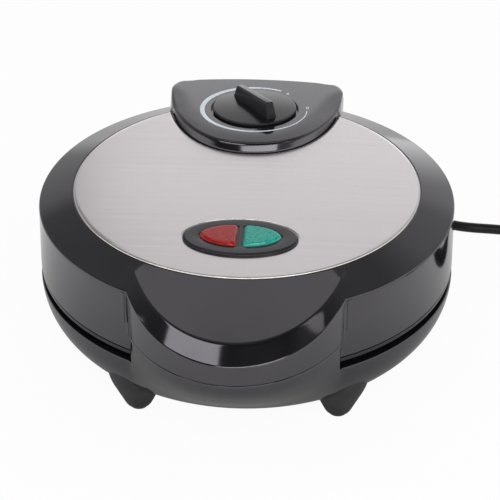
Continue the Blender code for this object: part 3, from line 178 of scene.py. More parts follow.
# Printed scale round the dial
SCALE_R = 0.0309
SCALE_START = math.radians(6.6)
SCALE_END = math.radians(-298)
SCALE_THICK = 0.00004
SCALE_THIN = 0.0003
SCALE_SWELL = 0.00115
SCALE_WANE = 0.0007
SCALE_LEAD = math.radians(9)
SCALE_SWELL_RATE = 1.35
SCALE_WANE_START = 0.78
SCALE_WANE_RUN = 0.22
FIGURES = (("0", SCALE_START, 0.0312, 0.0042), ("6", math.radians(51.5), 0.0300, 0.0044))
ARC_SHARP = math.radians(60)

# Cooking plates
PLATE_FLANGE_R = 0.1090
PLATE_BODY_R = 0.1030
PLATE_THICK = 0.0033
MOULD_PITCH_R = 0.0620
MOULD_RING_R = 0.0165
MOULD_GROOVE_R = 0.0080
MOULD_LIP = 0.0011
MOULD_WALL = 0.0030
MOULD_GROOVE_START = math.radians(24)
MOULD_GROOVE_END = math.radians(156)
MOULD_BOSS_R = 0.0278
MOULD_BOSS_TAPER = 0.0015
SCREW_PITCH_R = 0.0975
SCREW_TURN = math.radians(30)
SCREW_R = 0.0017
SCREW_HEAD_R = 0.0034
SCREW_HEAD_H = 0.0018
PLATE_FACE_INSET = 0.0015
PLATE_BACK_INSET = 0.0020

# Feet
FOOT_X = 0.0542
FOOT_Y = 0.0785
FOOT_TIP_R = 0.0056
FOOT_SHOULDER_R = 0.0162
FOOT_SHOULDER_Z = 0.0220
FOOT_TOP_R = 0.0170
FOOT_TOP_Z = 0.0345
FOOT_ROUND = 0.0016
PAD_R = 0.0050
PAD_H = 0.0018
PAD_SUNK = 0.0010

# Indicator bezel and lenses
BEZEL_Y = -0.0588
BEZEL_HALF_W = 0.0307
BEZEL_HALF_D = 0.0178
BEZEL_EDGE_H = 0.0003
BEZEL_TOP_H = 0.0008
BEZEL_TOP_INSET = 0.0010
LENS_LENGTH = 0.0205
LENS_HALF_D = 0.0101
LENS_DIVIDER = 0.0030
LENS_SKIRT = 0.0028
LENS_PROUD = 0.0016
LENS_FACET = 0.00125
LENS_BOW = 1.25
LENS_GAP = 0.0005
LIP_GAP = 0.0001
LIP_SPREAD = 0.0006
LENS_SHRINK = 0.0003
SUNK = 0.0003
LIP_ROLL = 0.00045
LIP_FADE_START = 0.15
LIP_FADE_RUN = 0.5
RIM_ROLL = 0.00034
RIM_FADE_START = 0.75
RIM_FADE_RUN = 0.4
WINDOW_LIP = 0.0002
BEZEL_FLAT = 0.0022
LENS_CORNER = 0.0026
LENS_CROWN = 0.0001
BEZEL_SHARP = math.radians(30)
LENS_SHARP = math.radians(25)

# Supply cord
CORD_R = 0.00315
GLAND_ANGLE = math.radians(52)
GLAND_Z = 0.0300
GLAND_LENGTH = 0.0300
GLAND_NECK_R = 0.0055
GLAND_TIP_R = 0.0042
GLAND_RIBS = 6
GLAND_RIB_DEPTH = 0.0009
GLAND_RIB_PHASE = 1.2
GLAND_RIB_CUT = 0.35
GLAND_RIB_STEEPNESS = 3
GLAND_RIB_FROM = 0.12
GLAND_RIB_TO = 0.94
GLAND_FLANGE_R = GLAND_NECK_R + 0.0016
GLAND_FLANGE = (-0.0060, 0.0028, 0.0034, 0.0036)
GLAND_TIP_EDGE = 0.0004
VENT_LENGTH = 0.0260
VENT_WIDTH = 0.0030
VENT_STEP = 0.0090
VENT_OFFSET = 0.0330
VENT_TWIST = 0.01
CORD_ROUTE = (
    (0.0965, 0.1312, 0.0265),
    (0.1020, 0.1326, 0.0185),
    (0.1085, 0.1303, 0.0098),
    (0.1160, 0.1262, 0.0042),
    (0.1240, 0.1226, 0.00345),
    (0.1346, 0.1203, 0.00345),
    (0.1471, 0.1193, 0.00345),
    (0.1570, 0.1184, 0.00345),
    (0.1700, 0.1176, 0.00345),
    (0.1820, 0.1171, 0.00345),
)
COIL_CENTRE = (0.2070, 0.0780)
COIL_OUTER_R = 0.0390
COIL_PITCH = 0.0072
COIL_TURNS = 3.25
COIL_REVERSAL_TURNS = 0.5
COIL_POINTS = 156
TAIL_ROUTE = (
    (0.2480, 0.0570, 0.0087),
    (0.2471, 0.0480, 0.0060),
    (0.2458, 0.0385, 0.0048),
    (0.2446, 0.0290, 0.0064),
)
PLUG_X = 0.2440
PLUG_Y = 0.0120
PLUG_RELIEF = 0.0240
PLUG_RELIEF_R = 0.0062
PLUG_TIP_R = 0.0045
PLUG_LENGTH = 0.0360
PLUG_HALF_W = 0.0185
PLUG_HALF_H = 0.0085
PLUG_NOSE_HALF_W = 0.0165
PLUG_PIN_R = 0.0024
PLUG_PIN_LENGTH = 0.0190
PLUG_PIN_ROOT = 0.0040
PLUG_PIN_HALF_STEP = 0.0095
PLUG_PIN_TAPER = 0.0010
PLUG_EDGE = 0.0012
PLUG_RIBS = 6
PLUG_RIB_DEPTH = 0.0007
PLUG_RIB_CUT = 0.2
PLUG_SQUARENESS = 0.7

# How far the rounding of each corner reaches, along each section in turn
LID_INNER_ROUNDING = (0.0002, 0.0003, 0.0010)
LID_OUTER_ROUNDING = (0.0004, 0.0002, 0.0004, 0.0003, 0.0005, 0.0005)
HOUSING_ROUNDING = (0.0003, 0.0004, 0.0040, 0.0013, 0.0007, 0.0004, 0.0004, 0.0010)
FRAME_ROUNDING = (0.0003, 0.0004, 0.0004, 0.0003)
FOOT_ROUNDING = (0.0006, 0.0016, 0.0060)
PAD_ROUNDING = (0.0004, 0.0003)
BOSS_ROUNDING = (0.0010,)
PLATE_ROUNDING = (0.0005, 0.0003, 0.0003, 0.0005)
BEZEL_ROUNDING = (0.0003, 0.0004, 0.0010)
LENS_ROUNDING = (0.0003, 0.0004, 0.0005)
DISC_ROUNDING = (DIAL_RIM_ROUND, 0.0003)
PLUG_PIN_ROUNDING = (0.0002, 0.0006, 0.0004)

# Stage: the camera's aim, the floor and the lamps, each with its direction from the lid, the
# direction of its width, its distance, width, depth and brightness
AIM_Z = 0.05191
CAMERA_SHIFT = 0.0066
FLOOR_HALF = 6.0
LAMPS = (
    ("left_box", (-0.42, -0.39, 0.82), (-0.43, 0.20, -0.11), 1.3, 0.78, 0.34, 3.3),
    ("top_box", (0.0, 0.29, 0.95), (1.0, 0.0, 0.0), 1.4, 1.00, 0.42, 0.70),
    ("right_box", (0.655, -0.195, 0.73), (0.0, 0.0, 1.0), 1.4, 0.36, 0.19, 1.3),
    ("front_box", (0.18, -0.69, 0.70), (1.0, 0.2, 0.0), 1.6, 1.40, 0.40, 4.6),
    ("panel_box", (0.05, 0.83, 0.56), (1.0, 0.0, 0.0), 1.7, 0.92, 0.62, 0.68))

# Places that follow from the sizes above
REAR_REACH = HINGE_Y + LUG_R
AXIS_Y = (HANDLE_CENTRE + HANDLE_HALF_D - REAR_REACH) / 2
RISE_PER_R = PANEL_RISE / (RING_R - PANEL_R)
RECESS_Z = CREASE_Z + PANEL_RISE + PANEL_PROUD - PANEL_THICK - GAP
CEILING_Z = RECESS_Z - WALL
SKIRT_Z = CREASE_Z - SKIRT_H
SKIRT_INNER_R = RING_R - WALL
FRAME_Z = SKIRT_Z - SEAM - FRAME_LIP
RIM_Z = FRAME_Z - MOUTH_GAP
CLOSE_Z = (FRAME_Z + RIM_Z) / 2
BOWL_Z = RIM_Z - BOWL_DEPTH
PARTING_Z = CREASE_Z - HANDLE_FACE_H
BLOCK_TOP = PARTING_Z - PARTING_GAP
HINGE_Z = CREASE_Z - HINGE_DROP
APRON_Z = HINGE_Z + SWING_CLEAR
HUMP_TOP_FRONT_Y = HUMP_CENTRE - HUMP_HALF_D + HUMP_CHAMFER_D
LIP_R = PLATE_BODY_R + 4 * GAP
PLATE_FACE = GAP / 2
PLATE_SEAT = MOUTH_GAP / 2 - GAP
PLATE_BACK = PLATE_FACE + PLATE_THICK
BOSS_BACK = PLATE_FACE + MOULD_GROOVE_R + MOULD_WALL
BEZEL_SEAT = (CREASE_Z + PANEL_RISE + PANEL_PROUD + GAP
              + PANEL_DOME * (1 - ((abs(BEZEL_Y) - BEZEL_HALF_D) / PANEL_R) ** 2))


def colour_setting(name, description, default):
    """A colour that the panel shows."""
    return FloatVectorProperty(name=name, description=description, subtype="COLOR",
                               default=default, min=0.0, max=1.0)


class ShellSettings(PropertyGroup):
    """Moulded shells of the lid and the base."""
    colour: colour_setting("Plastic colour", "Colour of the glossy black mouldings",
                           (0.0062, 0.0058, 0.0072))
    crease: FloatProperty(
        name="Crease rounding", description="Rounding of the ring's outer crease",
        unit="LENGTH", default=0.0007, min=0.0001, max=0.002)


class PanelSettings(PropertyGroup):
    """Steel panel on the lid."""
    colour: colour_setting("Steel colour", "Colour of the brushed steel panel",
                           (0.585, 0.555, 0.570))


class LampSettings(PropertyGroup):
    """Indicator lamps."""
    left: colour_setting("Left lens", "Colour of the left indicator lens", (0.350, 0.0090, 0.0085))
    right: colour_setting("Right lens", "Colour of the right indicator lens", (0.014, 0.370, 0.290))


class StageSettings(PropertyGroup):
    """Camera and lamps."""
    distance: FloatProperty(
        name="Camera distance", description="Distance from the camera to the lid",
        unit="LENGTH", default=1.02005, min=0.3, max=5.0)
    elevation: FloatProperty(
        name="Camera elevation", description="Height of the camera above the horizon",
        subtype="ANGLE", default=math.radians(32.42), min=0.0, max=1.5)
    azimuth: FloatProperty(
        name="Camera azimuth", description="Turn of the camera to the right of the front",
        subtype="ANGLE", default=math.radians(3.25), min=-3.2, max=3.2)
    roll: FloatProperty(
        name="Camera roll", description="Turn of the camera about its own line of sight",
        subtype="ANGLE", default=math.radians(0.13), min=-0.5, max=0.5)
    lens: FloatProperty(
        name="Focal length", description="Focal length of the camera in millimetres",
        subtype="DISTANCE_CAMERA", default=129.6, min=20.0, max=300.0)


# Arrays, outlines and meshes

def smooth(value):
    """Three squares less two cubes of a share held between 0 and 1."""
    value = np.clip(value, 0.0, 1.0)
    return value * value * (3 - 2 * value)


def wrapped(angle):
    """The same angle brought to between minus and plus half a turn."""
    return np.angle(np.exp(1j * np.asarray(angle, float)))


def rounded(path, reach, steps=5):
    """A path of straight runs whose inner corners become parabolas.

    A parabola leaves the first run and joins the next at the given reach from the
    corner, and one more point on each run keeps the flat faces flat.
    """
    path = np.asarray(path, float)
    corner = path[..., 1:-1, :]
    back = path[..., :-2, :] - corner
    ahead = path[..., 2:, :] - corner
    back_length = np.linalg.norm(back, axis=-1, keepdims=True)
    ahead_length = np.linalg.norm(ahead, axis=-1, keepdims=True)
    back = back / np.maximum(back_length, TINY)
    ahead = ahead / np.maximum(ahead_length, TINY)
    reach = np.broadcast_to(np.asarray(reach, float)[..., None], back_length.shape)
    start = corner + back * np.minimum(reach, CORNER_SHARE * back_length)
    end = corner + ahead * np.minimum(reach, CORNER_SHARE * ahead_length)
    t = np.linspace(0, 1, steps)[:, None]
    arc = ((1 - t) ** 2 * start[..., None, :] + 2 * t * (1 - t) * corner[..., None, :]
           + t ** 2 * end[..., None, :])
    before = corner + back * np.minimum(FLAT_REACH * reach, FLAT_SHARE * back_length)
    after = corner + ahead * np.minimum(FLAT_REACH * reach, FLAT_SHARE * ahead_length)
    rows = np.concatenate([before[..., None, :], arc, after[..., None, :]], axis=-2)
    rows = rows.reshape(*rows.shape[:-3], -1, rows.shape[-1])
    return np.concatenate([path[..., :1, :], rows, path[..., -1:, :]], axis=-2)


def grid(points, wrap_u=True, wrap_v=False):
    """Points on a grid of two parameters, with the faces between them."""
    points = np.asarray(points, float)
    count_u, count_v = points.shape[:2]
    u = np.arange(count_u if wrap_u else count_u - 1)[:, None]
    v = np.arange(count_v if wrap_v else count_v - 1)[None, :]
    next_u = (u + 1) % count_u
    next_v = (v + 1) % count_v
    faces = np.stack([u * count_v + v, next_u * count_v + v,
                      next_u * count_v + next_v, u * count_v + next_v], axis=-1)
    return points.reshape(-1, 3), faces.reshape(-1, 4)


def weld(mesh):
    """Merge seams and poles, drop faces without area and face the rest outwards."""
    bm = bmesh.new()
    bm.from_mesh(mesh)
    bmesh.ops.remove_doubles(bm, verts=bm.verts, dist=WELD)
    bmesh.ops.dissolve_degenerate(bm, edges=bm.edges, dist=WELD / 4)
    bmesh.ops.recalc_face_normals(bm, faces=bm.faces)
    bm.to_mesh(mesh)
    bm.free()


def soften(mesh, sharp=SHARP):
    """Smooth shading, but for edges that turn by more than the sharp angle."""
    mesh.shade_smooth()
    mesh.set_sharp_from_angle(angle=sharp)


def linked(name, data):
    """An object made of some data, in the scene."""
    thing = bpy.data.objects.new(name, data)
    bpy.context.scene.collection.objects.link(thing)
    return thing


def solid(name, patches, sharp=SHARP):
    """One closed mesh from patches of points and faces, welded where they meet."""
    points = np.concatenate([patch[0] for patch in patches])
    faces = []
    start = 0
    for patch_points, patch_faces in patches:
        faces += (np.asarray(patch_faces) + start).tolist()
        start += len(patch_points)
    mesh = bpy.data.meshes.new(name)
    mesh.from_pydata(points.tolist(), [], faces)
    weld(mesh)
    soften(mesh, sharp)
    return linked(name, mesh)


def carve(thing, tools, operation="DIFFERENCE"):
    """Cut tools from a piece, or join them to it, and keep only the result."""
    for tool in tools:
        modifier = thing.modifiers.new("carve", "BOOLEAN")
        modifier.operation = operation
        modifier.solver = "EXACT"
        modifier.object = tool
    evaluated = thing.evaluated_get(bpy.context.evaluated_depsgraph_get())
    mesh = bpy.data.meshes.new_from_object(evaluated)
    thing.modifiers.clear()
    thing.data = mesh
    soften(mesh)
    for tool in tools:
        bpy.data.objects.remove(tool, do_unlink=True)
    return thing


def finished(thing, body, finish, slot, *nodes):
    """Give a piece its material and the body it moves with, and hide the nodes it stands for."""
    thing.data.materials.clear()
    thing.data.materials.append(finish_of(finish))
    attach(thing, body)
    if nodes:
        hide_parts(*nodes)
    return thing


def piece(name, patches, body, finish, slot, *nodes, sharp=SHARP):
    """A new closed mesh, finished."""
    return finished(solid(name, patches, sharp), body, finish, slot, *nodes)


def refined(packed, name, body, finish, slot):
    """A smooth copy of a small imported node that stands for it."""
    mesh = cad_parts[packed].data.copy()
    mesh.name = name
    weld(mesh)
    soften(mesh)
    return finished(linked(name, mesh), body, finish, slot, packed)


def circle_turns(count):
    """Even angles round a circle."""
    return np.arange(count) * math.tau / count


def ring_loop(x, y, radius, count, start=0.0):
    """Places round a circle in plan."""
    turn = circle_turns(count) + start
    return np.stack([x + radius * np.cos(turn), y + radius * np.sin(turn)], axis=1)


def turned(profile, steps):
    """A profile of radius and height turned about the upright line through the origin."""
    profile = np.asarray(profile, float)
    turn = circle_turns(steps)[:, None]
    radius = profile[None, :, 0]
    height = np.broadcast_to(profile[None, :, 1], (steps, len(profile)))
    return np.stack([radius * np.cos(turn), radius * np.sin(turn), height], axis=-1)


def spun(profile, steps=128, x=0.0, y=AXIS_Y):
    """A profile turned about an upright axis, at first the body's."""
    return turned(profile, steps) + (x, y, 0.0)


def at_angle(angle, section):
    """Sections of radius and height placed at angles that are counted from the front."""
    angle = np.asarray(angle)[:, None]
    radius = section[..., 0]
    return np.stack([radius * np.sin(angle), AXIS_Y - radius * np.cos(angle), section[..., 1]],
                    axis=-1)


def oval(half_w, half_d, y, z, count=160):
    """A level oval, at a distance behind the body axis."""
    turn = circle_turns(count)
    return np.stack([half_w * np.cos(turn), AXIS_Y + y + half_d * np.sin(turn),
                     np.full(count, float(z))], axis=-1)


def level(outline, z):
    """An outline in plan lifted to a height."""
    return np.concatenate([outline, np.full((len(outline), 1), float(z))], axis=1)


def inside(points, outline):
    """Which points lie in an outline, by counting the edges crossed to one side."""
    x, y = points[:, None, 0], points[:, None, 1]
    ax, ay = outline[None, :, 0], outline[None, :, 1]
    bx, by = np.roll(ax, -1, axis=1), np.roll(ay, -1, axis=1)
    spans = (ay > y) != (by > y)
    across = ax + (y - ay) * (bx - ax) / np.where(by == ay, TINY, by - ay)
    return (spans & (x < across)).sum(axis=1) % 2 == 1


def holed_face(outline, holes, z):
    """A flat face between an outer outline and its holes, cut into triangles."""
    loops = [np.asarray(outline)[:, :2]] + [np.asarray(hole)[:, :2] for hole in holes]
    points = np.concatenate(loops)
    edges = []
    start = 0
    for loop in loops:
        index = np.arange(len(loop))
        edges += np.stack([start + index, start + (index + 1) % len(loop)], axis=1).tolist()
        start += len(loop)
    result = delaunay_2d_cdt([Vector(p) for p in points], edges, [], 1, WELD)
    flat = np.array([tuple(v) for v in result[0]])
    faces = np.array([face for face in result[2] if len(face) == 3])
    middle = flat[faces].mean(axis=1)
    keep = inside(middle, loops[0])
    for loop in loops[1:]:
        keep &= ~inside(middle, loop)
    return level(flat, z), faces[keep]


def rounded_outline(outline, count, width):
    """An outline resampled evenly and averaged over a width, which rounds its corners."""
    closed = np.concatenate([outline, outline[:1]])
    step = np.linalg.norm(np.diff(closed, axis=0), axis=1)
    along = np.concatenate([[0.0], np.cumsum(step)])
    even = np.linspace(0, along[-1], count, endpoint=False)
    points = np.stack([np.interp(even, along, closed[:, axis]) for axis in (0, 1)], axis=1)
    reach = max(int(round(width / along[-1] * count / 2)), 1)
    return sum(np.roll(points, shift, axis=0)
               for shift in range(-reach, reach + 1)) / (2 * reach + 1)


def upright_prism(name, outline, low, high):
    """An outline in plan carried straight up between two heights."""
    centre = outline.mean(axis=0)
    rows = [level(np.repeat(centre[None], len(outline), axis=0), low), level(outline, low),
            level(outline, high), level(np.repeat(centre[None], len(outline), axis=0), high)]
    return solid(name, [grid(np.stack(rows, axis=1))])


def side_prism(name, outline, left, right, edge=0.0):
    """An outline of y and z carried along x, with rounded end edges."""
    outline = np.asarray(outline, float)
    centre = outline.mean(axis=0)
    shares = [(left, 0.0), (left, 1.0), (right, 1.0), (right, 0.0)]
    rows = []
    for x, share in shares:
        flat = centre + (outline - centre) * share
        rows.append(np.concatenate([np.full((len(flat), 1), float(x)), flat], axis=1))
    section = np.stack(rows, axis=1)
    if edge:
        section = rounded(section, [edge, edge], 4)
    return solid(name, [grid(section)])


def cross_rod(name, left, right, y, z, radius, steps=64):
    """A round rod along x."""
    return side_prism(name, ring_loop(y, z, radius, steps), left, right)


def block(name, low, high):
    """A box between two corners, to cut or join with."""
    outline = np.array([(low[0], low[1]), (high[0], low[1]), (high[0], high[1]), (low[0], high[1])])
    return upright_prism(name, outline, low[2], high[2])


# Forms of the lid

def ring_slope_z(radius):
    """Height of the ring's slope, which the handle's top face carries on."""
    return CREASE_Z + (RING_R - radius) * RISE_PER_R


def handle_corner(radius, inset_w=0.0, inset_d=0.0):
    """Angle from the front at which the handle's ellipse crosses a circle of the body."""
    half_w, half_d = HANDLE_HALF_W - inset_w, HANDLE_HALF_D - inset_d
    square = 1 / half_d ** 2 - 1 / half_w ** 2
    linear = 2 * HANDLE_CENTRE / half_d ** 2
    constant = (radius / half_w) ** 2 + (HANDLE_CENTRE / half_d) ** 2 - 1
    root = math.sqrt(linear ** 2 - 4 * square * constant)
    crossings = [(-linear + sign * root) / (2 * square) for sign in (1, -1)]
    y = min((v for v in crossings if abs(v) < radius), key=lambda v: abs(v + HANDLE_CENTRE))
    return math.acos(-y / radius)


def handle_reach(angle, corner, inset_w=0.0, inset_d=0.0):
    """Distance from the body axis to the handle's ellipse, held beyond its corners."""
    turn = np.where(np.abs(wrapped(angle)) > corner, corner, angle)
    half_d = HANDLE_HALF_D - inset_d
    across = np.sin(turn) / (HANDLE_HALF_W - inset_w)
    along = np.cos(turn) / half_d
    offset = HANDLE_CENTRE / half_d
    a = across ** 2 + along ** 2
    b = -2 * along * offset
    return (-b + np.sqrt(b ** 2 - 4 * a * (offset ** 2 - 1))) / (2 * a)


def lid_section(angle, corner, knee_corner, crease):
    """Section of the lid at each angle: recess, ring, bevel, wall, skirt and inside.

    The handle's top stands a little over the ring's slope along its rim, so that a soft
    crease runs on from the bevel, across the ring, to the panel.
    """
    recess_r = PANEL_R + PANEL_GROOVE
    knee = handle_reach(angle, knee_corner, HANDLE_BEVEL_W, HANDLE_BEVEL_D)
    knee = np.maximum(knee, recess_r + TOP_START)
    lift = TOP_LIFT * smooth((knee - recess_r - TOP_START) / TOP_EASE)
    edge = np.maximum(handle_reach(angle, corner), RING_R)
    drop = HANDLE_DROP * smooth((edge - RING_R) / HANDLE_DROP_EASE)
    parting_r = RING_R + SKIRT_DRAFT * HANDLE_FACE_H / SKIRT_H
    corners = [
        (0.0, RECESS_Z),
        (recess_r, RECESS_Z),
        (recess_r, ring_slope_z(recess_r)),
        (knee, ring_slope_z(knee) + lift),
        (edge, ring_slope_z(edge) - drop),
        (np.maximum(edge, parting_r), PARTING_Z),
        (parting_r, PARTING_Z),
        (RING_R + SKIRT_DRAFT, SKIRT_Z),
        (SKIRT_INNER_R, SKIRT_Z),
        (SKIRT_INNER_R, ring_slope_z(SKIRT_INNER_R) - WALL),
        (PANEL_R - WALL, CEILING_Z),
        (0.0, CEILING_Z)]
    section = np.stack([
        np.stack([np.broadcast_to(r, angle.shape), np.broadcast_to(z, angle.shape)], axis=-1)
        for r, z in corners], axis=1)
    return rounded(section, [*LID_INNER_ROUNDING, crease, *LID_OUTER_ROUNDING])


def rib_surface(side):
    """Narrow upright rib on the skirt beside the handle's end, its front rounded across."""
    across = np.linspace(0, 1, 9)
    start = handle_corner(RING_R)
    angle = start + (RIB_START + RIB_W * np.concatenate([across, [1.0, 0.0]])) / RING_R
    out = np.concatenate([RIB_OUT * (1 - (2 * across - 1) ** RIB_SQUARENESS) - GAP,
                          [-RIB_DEPTH, -RIB_DEPTH]])
    rows = []
    for down, spanned in ((RIB_TOP, False), (RIB_TOP, True), (RIB_END, True), (RIB_END, False)):
        z = CREASE_Z - down
        radius = RING_R + SKIRT_DRAFT * down / SKIRT_H + out
        row = np.stack([side * radius * np.sin(angle), AXIS_Y - radius * np.cos(angle),
                        np.full_like(angle, z)], axis=1)
        rows.append(row if spanned else np.broadcast_to(row.mean(axis=0), row.shape))
    return np.stack(rows)


def body_turns(corner, front=180, side=110, rear=150):
    """Angles from the front, closer together over the handle and the hinge housing."""
    back = HOUSING_HALF_ANGLE + HOUSING_EASE_ANGLE
    stops = (-corner, corner, math.pi - back, math.pi + back, math.tau - corner)
    spans = [np.linspace(a, b, n, endpoint=False)
             for a, b, n in zip(stops, stops[1:], (front, side, rear, side))]
    return np.concatenate(spans)


def hinge_outline(rounds_up, top):
    """Round end about the hinge axis with straight sides to a height."""
    turn = np.linspace(0, math.pi, 33) + (0 if rounds_up else math.pi)
    y = AXIS_Y + HINGE_Y
    arc = np.stack([y + LUG_R * np.cos(turn), HINGE_Z + LUG_R * np.sin(turn)], axis=1)
    last = np.array([(arc[-1, 0], top), (arc[0, 0], top)])
    return np.concatenate([arc, last])


def panel_surface():
    """Steel panel in strips from front to back: dome, rolled edge and underside.

    Each strip runs from the circle's front to whichever comes first, the circle's back or
    the housing's outline. The height falls by a quarter circle over the last stretch
    before the outline, which rolls the edge.
    """
    roll = PANEL_ROLL
    housing = hump_outline(-PANEL_GROOVE, -PANEL_GROOVE)
    front = housing[np.argsort(housing[:, 0])]
    front = front[(np.abs(front[:, 0]) < HUMP_HALF_W) & (front[:, 1] < AXIS_Y + HUMP_CENTRE)]
    far = np.linspace(PANEL_CORNER_START, PANEL_CORNER_END, 90)
    round_x = PANEL_R * np.sin(np.linspace(-math.pi / 2, math.pi / 2, 261))
    x = np.unique(np.concatenate([round_x, far, -far]))
    half = np.sqrt(np.maximum(PANEL_R ** 2 - x ** 2, 0.0))
    back = np.minimum(AXIS_Y + half, np.interp(x, front[:, 0], front[:, 1], left=1.0, right=1.0))
    low = AXIS_Y - half
    ends = roll * PANEL_EDGE_REACH * np.linspace(0, 1, 12) ** PANEL_EDGE_CROWD
    middle = np.linspace(0, 1, 41)[1:-1]
    length = (back - low)[:, None]
    near = np.minimum(ends, PANEL_EDGE_SHARE * length)
    inner = near[:, -1:] + (length - 2 * near[:, -1:]) * middle
    y = low[:, None] + np.concatenate([near, inner, length - near[:, ::-1]], axis=1)
    px = np.broadcast_to(x[:, None], y.shape)
    radius = np.hypot(px, y - AXIS_Y)
    flat = np.stack([px.ravel(), y.ravel()], axis=1)
    start, end = front[:-1], front[1:]
    run = end - start
    share = np.clip(((flat[:, None] - start) * run).sum(-1) / (run ** 2).sum(-1), 0, 1)
    away = np.linalg.norm(flat[:, None] - start - share[..., None] * run, axis=-1).min(axis=1)
    inset = np.clip(np.minimum(PANEL_R - radius, away.reshape(y.shape)), 0, roll)
    top = CREASE_Z + PANEL_RISE + PANEL_PROUD
    z = (top + PANEL_DOME * (1 - (radius / PANEL_R) ** 2) - roll
         + np.sqrt(roll ** 2 - (roll - inset) ** 2))
    under = np.full((len(x), 1), RECESS_Z + GAP / 2)
    ys = np.concatenate([y, y[:, -1:], y[:, :1]], axis=1)
    zs = np.concatenate([z, under, under], axis=1)
    return np.stack([np.broadcast_to(x[:, None], ys.shape), ys, zs], axis=-1)


def frame_patches():
    """Lip under the skirt, cut flat before the hinge, and the spigot inside the skirt."""
    outer = RING_R + SKIRT_DRAFT - FRAME_INSET
    top = SKIRT_Z - SEAM
    ring = rounded([(outer - FRAME_EDGE, top), (outer, top), (outer, FRAME_Z), (LIP_R, FRAME_Z),
                    (LIP_R, top), (LIP_R + FRAME_EDGE, top)], FRAME_ROUNDING, 4)
    ring = spun(np.concatenate([ring, [(outer - FRAME_EDGE, top)]]), 300)
    ring[..., 1] = np.minimum(ring[..., 1], AXIS_Y + HINGE_Y - LUG_R - KNUCKLE_CLEAR)
    far, near = SKIRT_INNER_R - GAP, SKIRT_INNER_R - GAP - FRAME_SPIGOT_W
    low, high = top - GAP, top + FRAME_SPIGOT_H
    spigot = spun([(far, low), (far, high), (near, high), (near, low), (far, low)], 200)
    return [grid(ring), grid(spigot)]


# Forms of the housing and the dial

def hump_z(y):
    """Height of the housing's sloping top at a distance behind the body axis."""
    return CREASE_Z + HUMP_FRONT_RISE - (y - HUMP_TOP_FRONT_Y) * math.tan(HUMP_TILT)


def hump_outline(inset_w=0.0, inset_d=0.0, inset_back=0.0):
    """Plan of the housing: squared front ellipse, cut corners and bowed back."""
    half_w = HUMP_HALF_W - inset_w
    half_d = HUMP_HALF_D - inset_d
    back = AXIS_Y + REAR_REACH - inset_back
    power = 2 / HUMP_SQUARENESS

    def back_y(x):
        return back - HUMP_BACK_R + np.sqrt(HUMP_BACK_R ** 2 - x ** 2)

    share = (AXIS_Y + HUMP_CENTRE - back_y(half_w) + HUMP_CORNER_D) / half_d
    limit = math.acos(share ** (HUMP_SQUARENESS / 2))
    turn = np.linspace(-limit, limit, 161)
    front = np.stack([np.copysign(half_w * np.abs(np.sin(turn)) ** power, turn),
                      AXIS_Y + HUMP_CENTRE - half_d * np.cos(turn) ** power], axis=1)
    end = half_w - HUMP_CORNER_W
    x = np.linspace(end, -end, 41)
    rear = np.stack([x, back_y(x)], axis=1)
    corner = np.array([half_w, back_y(half_w)])
    pull = corner + ((front[-1] + rear[0]) / 2 - corner) * HUMP_CORNER_FLATTEN
    t = np.linspace(0, 1, 20)[1:-1, None]
    right = (1 - t) ** 2 * front[-1] + 2 * t * (1 - t) * pull + t ** 2 * rear[0]
    left = right[::-1] * (-1, 1)
    return np.concatenate([front, right, rear, left])


def reach_of(outline, centre, turn):
    """Points of an outline in given directions from a centre inside it."""
    angle = np.arctan2(outline[:, 1] - centre[1], outline[:, 0] - centre[0])
    order = np.argsort(angle)
    return np.stack([np.interp(turn, angle[order], outline[order, axis], period=math.tau)
                     for axis in (0, 1)], axis=1)


def on_dial(points):
    """Points given about the dial's axis, put on the housing's sloping top."""
    points = np.asarray(points, float)
    cos, sin = math.cos(HUMP_TILT), math.sin(HUMP_TILT)
    x, y, z = points[..., 0], points[..., 1], points[..., 2]
    return np.stack([x, AXIS_Y + DIAL_Y + y * cos + z * sin, hump_z(DIAL_Y) - y * sin + z * cos],
                    axis=-1)


def disc_surface():
    """The dial's disc: shallow dome, rounded rim, wall and underside, turned about its axis."""
    top = [(r, DIAL_RIM_H + DIAL_DOME * (1 - (r / DIAL_R) ** 2))
           for r in DIAL_R * np.linspace(0, 1, 14)]
    low = GAP - DIAL_RECESS_H
    edge = rounded([top[-3], (DIAL_R, DIAL_RIM_H), (DIAL_R, low), (0.0, low)], DISC_ROUNDING, 6)
    return on_dial(turned(np.concatenate([top[:-2], edge[1:]]), 180))


def arc_surface():
    """The printed arc: a thin band round the dial that swells and thins along its way."""
    turn = np.linspace(SCALE_START - SCALE_LEAD, SCALE_END, 260)
    share = np.linspace(0, 1, 260)
    width = (SCALE_THIN + SCALE_SWELL * smooth(share * SCALE_SWELL_RATE)
             - SCALE_WANE * smooth((share - SCALE_WANE_START) / SCALE_WANE_RUN))
    rows = []
    for across, up in ((-1, 0), (-1, 1), (1, 1), (1, 0)):
        radius = SCALE_R + across * width
        rows.append(on_dial(np.stack([radius * np.cos(turn), radius * np.sin(turn),
                                      np.full_like(turn, SCALE_THICK * (3 * up - 1))], axis=-1)))
    band = np.stack(rows, axis=1)
    first, last = (np.repeat(end.mean(axis=1, keepdims=True), 4, axis=1)
                   for end in (band[:1], band[-1:]))
    return np.concatenate([first, band, last])


